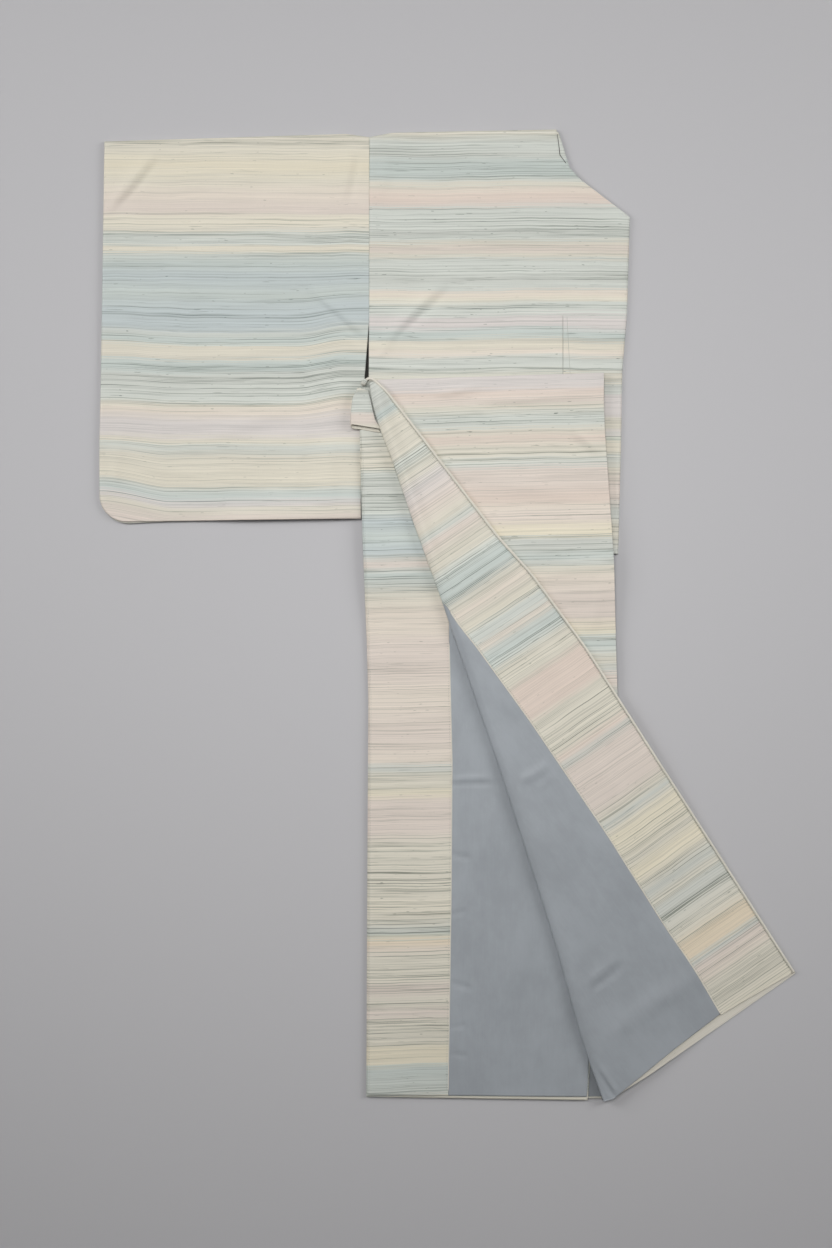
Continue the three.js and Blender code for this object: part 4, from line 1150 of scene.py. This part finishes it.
class KimonoSizes(bpy.types.PropertyGroup):
    mesh_step: bpy.props.FloatProperty(
        name="Mesh step", description="Spacing of the cloth's points, in millimetres",
        default=3.5, min=2.0, max=12.0,
    )
    crease_strength: bpy.props.FloatProperty(
        name="Crease strength", description="How deep the soft creases are",
        default=1.15, min=0.0, max=2.0, subtype="FACTOR",
    )
    roll_height: bpy.props.FloatProperty(
        name="Roll height", description="Fullness of the diagonal fold near the waist",
        default=0.0070, min=0.0, max=0.008, unit="LENGTH",
    )
    camera_height: bpy.props.FloatProperty(
        name="Camera height", description="Height of the camera above the surface",
        default=3.0, min=1.5, max=6.0, unit="LENGTH",
    )


class KimonoColours(bpy.types.PropertyGroup):
    edge: bpy.props.FloatVectorProperty(
        name="Edges", description="Colour of edges and turnings, from 0 to 255 on screen",
        size=3, default=PALETTE["edge"], min=0, max=255,
    )
    floor: bpy.props.FloatVectorProperty(
        name="Surface", description="Colour of the surface beneath, from 0 to 255 on screen",
        size=3, default=(189, 188, 190), min=0, max=255,
    )


def sizes():
    return bpy.context.scene.kimono_sizes


def colours():
    return bpy.context.scene.kimono_colours


def edge_material():
    return plain_cloth("edge_weave", tuple(colours().edge))


def hidden_material():
    return plain_cloth("hidden_weave", PALETTE["hidden"])


# A dark weave of painted shade, for the strip and the tube put where there is only shadow.
def shade_material():
    return plain_cloth("shaded_weave", PALETTE["shade"])


def add_piece(name, parts, material, slot, *nodes):
    """One visual piece on the root body, in the place of the frame's nodes that are named."""
    made = make_object(name, parts, material)
    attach(made, "root")
    if nodes:
        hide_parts(*nodes)
    return made


def add_sheet(name, parts, material, slot, *nodes, flat, rests_on, area=None):
    """A visual piece of cloth. flat, its cut in metres, and area, the cut's where it isn't a rectangle, are
    not used.
    """
    made = add_piece(name, parts, material, slot, *nodes)


def slab(grid, low, high, stripes=PLAIN_CLOTH, **rim):
    """A closed shell between two heights over a flat grid, with its UV down from the panel's stripe line."""
    return closed_cloth(heights(grid, low), heights(grid, high), down_from(grid, **stripes), **rim)


# ---------------------------------------------------------------- the stage

# Lengths of the stage are in metres.
FLOOR_SIZE = 12.0
FLOOR_Z = -0.0002
WORLD_STRENGTH = 0.12
KEY_LIGHT = {"energy": 256.0, "spot_size": math.radians(47), "spot_blend": 1.0, "shadow_soft_size": 1.0}
KEY_PLACE = (-0.3, 1.0, 2.9)
KEY_AIM = (0, 0.11, 0)
SIDE_LIGHT = {"energy": 38.0, "shape": "RECTANGLE", "size": 0.8, "size_y": 1.6}
SIDE_PLACES = [(-2.4, 1.0, 1.6), (2.4, 1.0, 1.6)]
SIDE_AIM = (0, 0.25, 0)
VIEW_CENTRE = (-0.0404, -0.0115)
VIEW_HEIGHT = 1.589
SENSOR_WIDTH = 36.0
VIEW_END = 20.0


def add_light(name, kind, place, aim, settings):
    """A light at a place, turned towards its aim."""
    light = bpy.data.lights.new(name, kind)
    for key, value in settings.items():
        setattr(light, key, value)
    holder = bpy.data.objects.new(name, light)
    holder.location = place
    holder.rotation_mode = "QUATERNION"
    holder.rotation_quaternion = (Vector(aim) - holder.location).to_track_quat("-Z", "Y")
    bpy.context.scene.collection.objects.link(holder)


class KIMONO_OT_stage(bpy.types.Operator):
    """Makes the surface, the lights and the camera"""

    bl_idname = "kimono.stage"
    bl_label = "Stage"

    def execute(self, context):
        scene = context.scene
        bpy.ops.object.select_all(action="DESELECT")
        bpy.ops.mesh.primitive_plane_add(size=FLOOR_SIZE, location=(0, 0, FLOOR_Z))
        floor = context.active_object
        floor.name = "floor"
        floor.data.transform(floor.matrix_world)
        floor.matrix_world.identity()
        floor.data.materials.append(plain_surface("pale_floor", tuple(colours().floor), 0.9))

        world = bpy.data.worlds.new("studio")
        world.use_nodes = True
        background = world.node_tree.nodes["Background"].inputs
        background["Color"].default_value = (1, 1, 1, 1)
        background["Strength"].default_value = WORLD_STRENGTH
        scene.world = world

        add_light("key", "SPOT", KEY_PLACE, KEY_AIM, KEY_LIGHT)
        for place in SIDE_PLACES:
            add_light("side", "AREA", place, SIDE_AIM, SIDE_LIGHT)

        camera = bpy.data.cameras.new("camera")
        camera.sensor_width = SENSOR_WIDTH
        camera.lens = SENSOR_WIDTH * sizes().camera_height / VIEW_HEIGHT
        camera.clip_end = VIEW_END
        holder = bpy.data.objects.new("camera", camera)
        holder.location = (*VIEW_CENTRE, sizes().camera_height)
        scene.collection.objects.link(holder)
        scene.camera = holder
        scene.view_settings.view_transform = "Standard"
        scene.view_settings.look = "None"
        return {"FINISHED"}


# ---------------------------------------------------------------- the top


def lying_cloth(grid, relief, fall, uv):
    """A closed shell of one cloth's thickness on the top's layers, whose edges round off."""
    base = TOP_THICKNESS - CLOTH + relief - fall
    return closed_cloth(heights(grid, base), heights(grid, base + CLOTH), uv)


def sleeve_sag(x, y):
    """How far the sleeve's bands hang: they dip inwards, and lift at the armhole and at the lower corner."""
    dip, armhole_lift, corner_lift, lower_loss = 5.5, 9.0, 11.0, 0.7
    sag = dip * rise(x, -439, 123) - armhole_lift * rise(x, -190, 60)
    sag *= rise(y, 449, -87) * (1 - lower_loss * rise(y, 273, -50))
    return sag - corner_lift * rise(x, -350, -90) * rise(y, 260, -90)


class KIMONO_OT_sleeve(bpy.types.Operator):
    """Makes the upper sleeve panel, the layers under it, and a dark strip of painted shade in the gap at the
    armhole
    """

    bl_idname = "kimono.sleeve"
    bl_label = "Sleeve"

    def execute(self, context):
        step = sizes().mesh_step
        grid = dip_at_seam(panel_grid(sleeve_rows(), step))
        x, y = grid[..., 0], grid[..., 1]
        relief = soft_shape(x, y, SLEEVE_CREASES, seed=3, wavelength=130, height=0.35)
        fall = edge_fall(grid, **EDGE_FALLS["sleeve_front"])
        panel = lying_cloth(grid, relief, fall, down_from(grid, sag=sleeve_sag(x, y), **SLEEVE_STRIPES))
        cloth = striped_cloth("sleeve_stripes", SLEEVE_CHART, length=495, seed=1)
        add_sheet("sleeve_front", [panel], cloth, "striped_cloth", "sleeve_upper_panel",
                  flat=(0.343, 0.495), rests_on=["sleeve_layers"])

        grid = dip_at_seam(panel_grid(sleeve_rows(inset=2.2, below=2.0, below_right=-8.0), step * 2))
        layers = slab(grid, 0.0, SLEEVE_STACK, SLEEVE_STRIPES, **SLEEVE_RIM)
        add_sheet("sleeve_layers", [layers], hidden_material(), "hidden_layers", "sleeve_lower_layers",
                  flat=(0.338, 0.490), rests_on=["floor"])

        # A dark strip of painted shade on the surface, in the gap at the armhole.
        shade = slab(panel_grid(ARMHOLE_SHADE_ROWS, 3), *ARMHOLE_SHADE_HEIGHTS, ARMHOLE_SHADE_UV, bulge=0.1)
        add_sheet("armhole_painted_shade", [shade], shade_material(), "hidden_layers",
                  flat=(0.0106, 0.095), rests_on=["floor"], area=0.00072)
        return {"FINISHED"}


def back_relief(x, y):
    """Soft shape of the top's back, whose ridges flatten out where the skirt covers it."""
    shape = soft_shape(x, y, BACK_CREASES, seed=5, wavelength=120, height=0.3)
    return np.minimum(shape, 0) + np.maximum(shape, 0) * rise(y - waist_y(x), 4, 14)


def back_part(grid, falls):
    """A part of the top's back, with its own edges."""
    relief = back_relief(grid[..., 0], grid[..., 1])
    return lying_cloth(grid, relief, edge_fall(grid, **falls), down_from(grid, **BACK_STRIPES))


class KIMONO_OT_back(bpy.types.Operator):
    """Makes the top's back panel, its pieced-in panel, their seams, the collar's edge and the layers below"""

    bl_idname = "kimono.back"
    bl_label = "Back"

    def execute(self, context):
        step = sizes().mesh_step
        grid = dip_at_seam(panel_grid(BACK_UPPER_ROWS, step))
        folded = rise(grid[:, :1, 1], NECK_END_Y, -10)
        right = tuple(mix(open_edge, fold, folded) for open_edge, fold in zip(OPEN_EDGE, OVER_THE_FOLD))
        upper = back_part(grid, {**EDGE_FALLS["back_upper"], "right": right})
        lower = back_part(panel_grid(BACK_LOWER_ROWS, step), EDGE_FALLS["back_lower"])
        cloth = striped_cloth("back_stripes", BACK_CHART, length=545, seed=2)
        add_sheet("back_panel", [upper, lower], cloth, "striped_cloth", "top_back_panel",
                  flat=(0.332, 0.543), rests_on=["back_layers"], area=0.150)

        insert = back_part(panel_grid(INSERT_ROWS, step), EDGE_FALLS["back_insert"])
        insert_cloth = striped_cloth("insert_stripes", INSERT_CHART, length=545, seed=2)
        add_sheet("back_insert", [insert], insert_cloth, "striped_cloth", "top_back_insert",
                  flat=(0.082, 0.306), rests_on=["back_layers"])

        seams = []
        t = np.linspace(0, 1, 24)
        for start, end in BACK_SEAMS:
            x, y = (mix(a, b, t) for a, b in zip(start, end))
            path = np.column_stack([x, y, TOP_THICKNESS + back_relief(x, y) + STITCH_RISE])
            seams.append(tube(path, width=0.45, height=0.25, sides=6))
        add_piece("back_seams", seams, plain_cloth("pale_thread", PALETTE["pale_thread"]), "edge_cloth")

        grid = dip_at_seam(panel_grid(TOP_LAYER_ROWS, step * 2))
        layers = slab(grid, 0.0, BACK_STACK, BACK_STRIPES, **BACK_RIM)
        add_sheet("back_layers", [layers], hidden_material(), "hidden_layers", "top_lower_layers",
                  flat=(0.328, 0.538), rests_on=["floor"], area=0.165)

        grid = panel_grid(COLLAR_ROWS, 1.5)
        fall = edge_fall(grid, **EDGE_FALLS["neck_edge"])
        collar = slab(grid, COLLAR_HEIGHTS[0] - fall, COLLAR_HEIGHTS[1] - fall, BACK_STRIPES)
        add_sheet("neck_edge", [collar], cloth, "edge_cloth", "collar_edge",
                  flat=(0.0102, 0.045), rests_on=["floor"], area=0.00034)
        # A dark tube of painted shade along the thin gap between the back and the collar's edge.
        gap = tube(points_between(NECK_SHADE_LINE, 20), width=1.0, height=0.5, sides=6)
        add_piece("neck_gap_painted_shade", [gap], shade_material(), "hidden_layers")
        return {"FINISHED"}


# ---------------------------------------------------------------- the skirt


def left_relief(x, y):
    """Soft shape of the uncovered quarter's inside, which lies flat beneath the page."""
    shape = soft_shape(x, y, LEFT_CREASES, lift=0.7, seed=11, wavelength=110, height=0.35)
    return np.maximum(shape, -0.15) * clear_of_fold(x, y)


class KIMONO_OT_left_quarter(bpy.types.Operator):
    """Makes the skirt's uncovered quarter: its layers, outer cloth, facing and lining"""

    bl_idname = "kimono.left_quarter"
    bl_label = "Left quarter"

    def execute(self, context):
        step = sizes().mesh_step
        hem_left, hem_right = SKIRT_HEM
        lining_left, lining_right = LINING_HEM_Y
        cloth = striped_cloth("left_facing_stripes", LEFT_FACING_CHART, length=930, seed=4)

        inset = LAYERS_INSET
        grid = skirt_grid(lambda y: skirt_left(y) + inset["left"], lambda y: page_right(y) - inset["right"],
                          (hem_left + inset["hem"], hem_right + inset["hem"]), step * 2)
        base = bed(grid[..., 1])
        layers = slab(grid, base, base + SKIRT_LAYERS, **SKIRT_RIM)
        add_sheet("skirt_layers", [layers], hidden_material(), "hidden_layers", "skirt_lower_layers",
                  flat=(0.318, 0.920), rests_on=["back_layers", "floor"])

        grid = skirt_grid(skirt_left, quarter_right, (hem_left, hem_right), step)
        fall = edge_fall(grid, **EDGE_FALLS["left_outer_cloth"])
        base = bed(grid[..., 1]) + LEFT_SHELL
        shell = slab(grid, base - np.minimum(fall, 0.25), base + CLOTH - fall, LEFT_STRIPES, bulge=0.35)
        add_sheet("left_outer_cloth", [shell], cloth, "striped_cloth", "skirt_left_shell",
                  flat=(0.300, 0.918), rests_on=["skirt_layers"])

        grid = skirt_grid(lambda y: skirt_left(y) + FLAP_PIPING, facing_right, (lining_left, lining_left - 1),
                          step)
        facing = self.inside(grid, "left_facing", LEFT_STRIPES)
        add_sheet("left_facing", [facing], cloth, "striped_cloth", "skirt_left_facing",
                  flat=(0.109, 0.907), rests_on=["left_outer_cloth"])

        grid = skirt_grid(lambda y: facing_right(y) + GAP, lambda y: quarter_right(y) - LEFT_LINING_INSET,
                          (lining_left - 1, lining_right), step)
        lining = self.inside(grid, "left_lining", PLAIN_CLOTH)
        add_sheet("left_lining", [lining], satin_lining("grey_satin"), "lining", "skirt_left_lining",
                  flat=(0.190, 0.907), rests_on=["left_outer_cloth"])

        # The spine's lining is a darker copy of the lining satin: painted shade of the hollow where it lies
        # low beside the fold.
        inset_left, inset_right = SPINE_INSETS
        rows = [(quarter_right(y) + inset_left, y, page_right(y) - inset_right, y) for y in SPINE_ROWS_Y]
        spine = slab(panel_grid(rows, 3), *SPINE_HEIGHTS, bulge=0.15)
        add_sheet("spine_lining", [spine], satin_lining("shaded_satin", PALETTE["spine"]), "lining",
                  flat=(0.020, 0.081), rests_on=["skirt_layers"], area=0.0015)
        return {"FINISHED"}

    def inside(self, grid, name, stripes):
        """A cloth on the quarter's inner side, raised by its soft shape."""
        fall = edge_fall(grid, **EDGE_FALLS[name])
        base = bed(grid[..., 1]) + LEFT_INSIDE + left_relief(grid[..., 0], grid[..., 1])
        return slab(grid, base, base + CLOTH - fall, stripes)


def fold_x(y):
    """X of the diagonal fold at a height of the page."""
    e = (FOLD_START[1] - y) / -FOLD_ALONG[1]
    return FOLD_START[0] + FOLD_ALONG[0] * e + fold_bow(e) / FOLD_ACROSS[0]


class KIMONO_OT_page(bpy.types.Operator):
    """Makes the skirt's page: its lining, and its outer cloth, which turns round the fold under the flap"""

    bl_idname = "kimono.page"
    bl_label = "Page"

    def execute(self, context):
        step = sizes().mesh_step
        turned_in = (2 * INSIDE_RADIUS + FOLD_LEG + 3 * GAP) / FOLD_ACROSS[0] + 1
        grid = skirt_grid(lambda y: fold_x(y) + turned_in, lambda y: page_right(y) - PAGE_LINING_INSET,
                          (PAGE_LINING_END_Y, PAGE_LINING_END_Y), step * 2)
        base = bed(grid[..., 1]) + PAGE_LINING
        lining = slab(grid, base, base + CLOTH)
        add_sheet("page_lining", [lining], satin_lining("grey_satin"), "lining", "skirt_page_lining",
                  flat=(0.300, 0.852), rests_on=["left_lining"], area=0.130)

        rows = fold_rows(*SHELL_ENDS, step * ROW_STEP)
        shortest = quarter_turn(SHELL_RADIUS) + MIN_LEG
        flap_end = np.maximum(length_to(rows, flap_edge(rows), SHELL_RADIUS), shortest)
        page_end = -np.maximum(length_to(rows, page_edge(rows), SHELL_RADIUS), shortest)
        w = turn_lengths(flap_end, page_end, SHELL_RADIUS, flap_steps=36, page_steps=64)
        e = np.broadcast_to(rows[:, None], w.shape)
        low, high, uv = around_fold(e, w, SHELL_RADIUS, PAGE)
        x, y = low[..., 0], low[..., 1]
        _, d = from_fold(x, y)
        shape = soft_shape(x, y, PAGE_CREASES, lift=0.3, seed=17, wavelength=120, height=0.3)
        lift = np.maximum(shape, -0.2) * (w < 0) * rise(d - flap_edge(e), 3, 16)
        low[..., 2] += lift
        high[..., 2] += lift - 0.8 * rounding(page_edge(e) - d, 3.5) * (w < 0)
        cloth = striped_cloth("page_stripes", PAGE_CHART, length=920, seed=5)
        shell = closed_cloth(low, high, uv)
        add_sheet("page_outer_cloth", [shell], cloth, "striped_cloth", "skirt_page_shell",
                  flat=(0.560, 0.925), rests_on=["page_lining", "floor"], area=0.290)
        return {"FINISHED"}


def flap_relief(x, y, e, w):
    """Soft shape of the flap's upper side: creases, and the roll of the fold, fullest near the waist."""
    from_turn = w - INSIDE_TURNED
    shape = soft_shape(x, y, FLAP_CREASES, lift=0.8, seed=23, wavelength=120, height=0.35)
    fullness = ROLL_LOW_SHARE + (1 - ROLL_LOW_SHARE) * rise(e, 330, -120)
    height = sizes().roll_height / MM * fullness * rise(e, 0, 25) * rise(e, 960, -120)
    roll = height * np.exp(-(((from_turn - 6) / 11) ** 2)) * (w > -2)
    return np.maximum(shape, -0.1) * rise(from_turn, 0, 8) + roll


class KIMONO_OT_flap(bpy.types.Operator):
    """Makes the flap's facing band and grey lining, which turn round the diagonal fold"""

    bl_idname = "kimono.flap"
    bl_label = "Flap"

    def execute(self, context):
        step = sizes().mesh_step
        rows = fold_rows(*FACING_ENDS, step * ROW_STEP)
        seam = seam_length(rows) + GAP / 2
        outer_d = np.where(rows >= FACING_HEM[0][0], facing_hem(rows), flap_edge(rows) - FLAP_PIPING)
        outer = np.maximum(length_to(rows, outer_d, INSIDE_RADIUS), seam + MIN_LEG + 1)
        standard = turn_lengths(outer, np.full(len(rows), INSIDE_END), INSIDE_RADIUS, 26, 3)
        last = standard.shape[1] - 1
        order = np.arange(last + 1)
        squeezed = np.maximum(standard, seam[:, None] + SQUEEZE * (last - order))
        even = mix(outer[:, None], seam[:, None], order / last)
        w = mix(squeezed, even, rise(rows, SEAM_WRAP[1], 60)[:, None])
        cloth = striped_cloth("flap_facing_stripes", FLAP_FACING_CHART, length=920, seed=6, blur=0.016)
        add_sheet("flap_facing", [self.turned_back(rows, w)], cloth, "striped_cloth", "skirt_flap_facing",
                  flat=(0.109, 0.917), rests_on=["page_outer_cloth"])

        rows = fold_rows(*LINING_ENDS, step * ROW_STEP)
        seam = seam_length(rows) - GAP / 2
        hem = length_to(rows, lining_hem(rows), INSIDE_RADIUS)
        seam = np.where(rows > LINING_HEM[0][0], np.minimum(seam, hem), seam)
        standard = turn_lengths(seam, np.full(len(rows), INSIDE_END), INSIDE_RADIUS, 44, 3)
        w = np.minimum(standard, seam[:, None] - SQUEEZE * np.arange(standard.shape[1]))
        add_sheet("flap_lining", [self.turned_back(rows, w)], satin_lining("grey_satin"), "lining",
                  "skirt_flap_lining", flat=(0.200, 0.690), rests_on=["page_outer_cloth"], area=0.072)
        return {"FINISHED"}

    def turned_back(self, rows, w):
        """The closed shell of a cloth on the flap, whose outer edge rounds off."""
        e = np.broadcast_to(rows[:, None], w.shape)
        low, high, uv = around_fold(e, w, INSIDE_RADIUS, PAGE_LINING)
        relief = flap_relief(low[..., 0], low[..., 1], e, w)
        low[..., 2] += relief
        high[..., 2] += relief - 0.45 * rounding(w[:, :1] - w, 2.2)
        return closed_cloth(low, high, uv)


# ---------------------------------------------------------------- the tie and the edges


def flat_tie():
    """The flat tie end: one cloth from its lower ply's right edge round a fold at its left to its upper's."""
    rows = np.array(TIE_ROWS)
    low_ply, high_ply = TIE_PLIES
    radius = (high_ply - low_ply) / 2
    stops = places(rows[0, 1] - rows[-1, 1], 1.5)
    down = rows[0, 1] - rows[:, 1]
    left_x, left_y, right_x, right_y = (np.interp(stops, down, rows[:, k])[:, None] for k in range(4))
    flat, arc = len(TIE_SHARES), np.linspace(0, math.pi, 13)
    angles = -math.pi / 2 - np.concatenate([np.zeros(flat), arc, np.full(flat, math.pi)])
    reach = np.concatenate([1 - TIE_SHARES, np.zeros(len(arc)), 1 - TIE_SHARES[::-1]])
    start = left_x + radius + CLOTH / 2
    base = bed(left_y) + low_ply + CLOTH / 2 + radius
    from_end = np.minimum(stops, stops[-1] - stops)[:, None]
    from_right = (1 - reach)[None, :] * (right_x - start)
    fall = 0.7 * rounding(np.minimum(from_end, from_right), 2.0)
    upper = np.sin(angles) > 0.99
    faces = []
    for offset in (-CLOTH / 2, CLOTH / 2):
        x = mix(start, right_x, reach) + (radius + offset) * np.cos(angles)
        y = mix(left_y, right_y, np.clip((x - left_x) / (right_x - left_x), 0, 1))
        y = y + TIE_UPPER_SHORTER * (1 + np.sin(angles)) / 2 * (stops[:, None] / stops[-1]) ** 2
        ridge = TIE_RIDGE["height"] * np.exp(-(((x - TIE_RIDGE["x"]) / TIE_RIDGE["half_width"]) ** 2))
        z = base + (radius + offset) * np.sin(angles) + (ridge - fall * (offset < 0)) * upper
        faces.append(np.stack([x, y, z], -1))
    along = (faces[0] + faces[1]) / 2
    uv = np.stack([np.broadcast_to(run_along(along[-1]), along.shape[:2]), rows[0, 1] - along[..., 1]], -1)
    return closed_cloth(faces[0], faces[1], uv)


def rolled_end():
    """The small rolled end: a spiral of cloth about its own length, drawn in at both ends."""
    low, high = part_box("waist_tie_knot")
    middle = (np.array(low) + np.array(high)) / 2 / MM
    middle[:2] -= SHIFT
    turns = np.linspace(0, TURN * ROLL["turns"], 40)
    spiral = mix(ROLL["inner"], ROLL["outer"], turns / turns[-1])
    length = np.linspace(-ROLL["half_length"], ROLL["half_length"], 15)[:, None]
    drawn_in = np.sqrt(np.clip(1 - (np.abs(length) / (ROLL["half_length"] + 0.3)) ** 2.6, 0.05, 1))
    faces = []
    for offset in (-ROLL["wall"] / 2, ROLL["wall"] / 2):
        cross = (spiral + offset) * np.cos(turns) * drawn_in
        up = (spiral + offset) * np.sin(turns) * drawn_in
        x = middle[0] + cross * math.cos(ROLL["tilt"]) + length * math.sin(ROLL["tilt"])
        y = middle[1] + length * math.cos(ROLL["tilt"]) - cross * math.sin(ROLL["tilt"])
        faces.append(np.stack([x, y, middle[2] + up], -1))
    around = np.broadcast_to(spiral * turns, faces[0].shape[:2])
    uv = np.stack([around, np.broadcast_to(length + 12, around.shape)], -1)
    return closed_cloth(faces[0], faces[1], uv)


class KIMONO_OT_tie(bpy.types.Operator):
    """Makes the flat tie end and the rolled end at the waist corner"""

    bl_idname = "kimono.tie"
    bl_label = "Waist tie"

    def execute(self, context):
        cloth = striped_cloth("tie_stripes", TIE_CHART, length=60, seed=7, blur=0.004)
        add_sheet("waist_tie", [flat_tie()], cloth, "striped_cloth", "waist_tie_end",
                  flat=(0.066, 0.053), rests_on=["left_facing"])
        cloth = striped_cloth("roll_stripes", ROLL_CHART, length=24, seed=8, blur=0.003)
        add_sheet("waist_roll", [rolled_end()], cloth, "striped_cloth", "waist_tie_knot",
                  flat=(0.0225, 0.0100), rests_on=["waist_tie"])
        return {"FINISHED"}


def on_flap(rows, lengths, above):
    """A path on the flap's upper side, at a length along the cloth for each place along the fold."""
    _, high, _ = around_fold(rows, lengths, INSIDE_RADIUS, under_page=PAGE_LINING)
    high[..., 2] += flap_relief(high[..., 0], high[..., 1], rows, lengths) + above
    return high


def on_left(x, y, above):
    """A path on the uncovered quarter's inner side."""
    return np.column_stack([x, y, bed(y) + LEFT_INSIDE + CLOTH + left_relief(x, y) + above])


def front_cord(step):
    """The cord from the rolled end, in a small loop, and down the flap's front edge."""
    rows = fold_rows(*CORD_ENDS, step)
    lying = on_flap(rows, length_to(rows, flap_edge(rows) - 1.5, INSIDE_RADIUS), 0.5)
    loop = points_between(np.concatenate([CORD_START, lying[:1]]), 22)
    for _ in range(3):
        loop[1:-1] = (loop[:-2] + 2 * loop[1:-1] + loop[2:]) / 4
    path = np.concatenate([loop[:-1], lying])
    width = np.interp(np.arange(len(path)), [0, 21, 60, len(path) - 1], [3.6, 3.6, 3.3, 2.8])
    return tube(path, width, width * 0.8, sides=10)


class KIMONO_OT_edges(bpy.types.Operator):
    """Makes the cord along the flap's front edge, the facings' inner seam edges and the running stitches"""

    bl_idname = "kimono.edges"
    bl_label = "Edges"

    def execute(self, context):
        step = sizes().mesh_step
        add_piece("flap_front_edge", [front_cord(step)], edge_material(), "edge_cloth")

        rows = fold_rows(*FLAP_SEAM_ENDS, step)
        lengths = np.maximum(seam_length(rows), INSIDE_TURNED)
        flap_seam = tube(on_flap(rows, lengths, above=-0.1), width=1.6, height=0.8)
        add_piece("flap_seam_edge", [flap_seam], edge_material(), "edge_cloth")
        sewn = stitches(on_flap(rows[:-1], lengths[:-1] + 2.2, STITCH_RISE))
        rows = fold_rows(*FRONT_STITCH_ENDS, step)
        lengths = length_to(rows, flap_edge(rows) - 3.7, INSIDE_RADIUS)
        sewn += stitches(on_flap(rows, lengths, STITCH_RISE), length=2.4, width=0.6)

        y = np.arange(-30.0, LINING_HEM_Y[0] + 2, -step)
        x = facing_right(y) + 0.2
        visible = clear_of_fold(x, y) > 0.02
        left_seam = tube(on_left(x, y, above=-0.1)[visible], width=1.1, height=0.6)
        add_piece("left_seam_edge", [left_seam], edge_material(), "edge_cloth")
        beside_seam = on_left(x, y, STITCH_RISE)[visible]
        beside_seam[:, 0] -= 2.4
        sewn += stitches(beside_seam)
        y = np.arange(215.0, LINING_HEM_Y[0] + 2, -step)
        sewn += stitches(on_left(skirt_left(y) + 3.4, y, STITCH_RISE))
        add_piece("stitches", sewn, plain_cloth("seam_thread", PALETTE["thread"]), "edge_cloth")
        return {"FINISHED"}


class KIMONO_PT_panel(bpy.types.Panel):
    """Lists the kimono's pieces in the sidebar"""

    bl_label = "Kimono"
    bl_idname = "KIMONO_PT_panel"
    bl_space_type = "VIEW_3D"
    bl_region_type = "UI"
    bl_category = "Kimono"

    def draw(self, context):
        layout = self.layout
        for group in (context.scene.kimono_sizes, context.scene.kimono_colours):
            for name in group.__annotations__:
                layout.prop(group, name)
        for operator in OPERATORS:
            layout.operator(operator.bl_idname)


OPERATORS = (
    KIMONO_OT_stage, KIMONO_OT_sleeve, KIMONO_OT_back, KIMONO_OT_left_quarter, KIMONO_OT_page, KIMONO_OT_flap,
    KIMONO_OT_tie, KIMONO_OT_edges,
)
CLASSES = (KimonoSizes, KimonoColours, *OPERATORS, KIMONO_PT_panel)


def register():
    for cls in CLASSES:
        bpy.utils.register_class(cls)
    bpy.types.Scene.kimono_sizes = bpy.props.PointerProperty(type=KimonoSizes)
    bpy.types.Scene.kimono_colours = bpy.props.PointerProperty(type=KimonoColours)


def unregister():
    del bpy.types.Scene.kimono_sizes
    del bpy.types.Scene.kimono_colours
    for cls in reversed(CLASSES):
        bpy.utils.unregister_class(cls)


def main():
    register()
    for operator in OPERATORS:
        name = operator.bl_idname.split(".")[1]
        getattr(bpy.ops.kimono, name)()


if __name__ == "__main__":
    main()
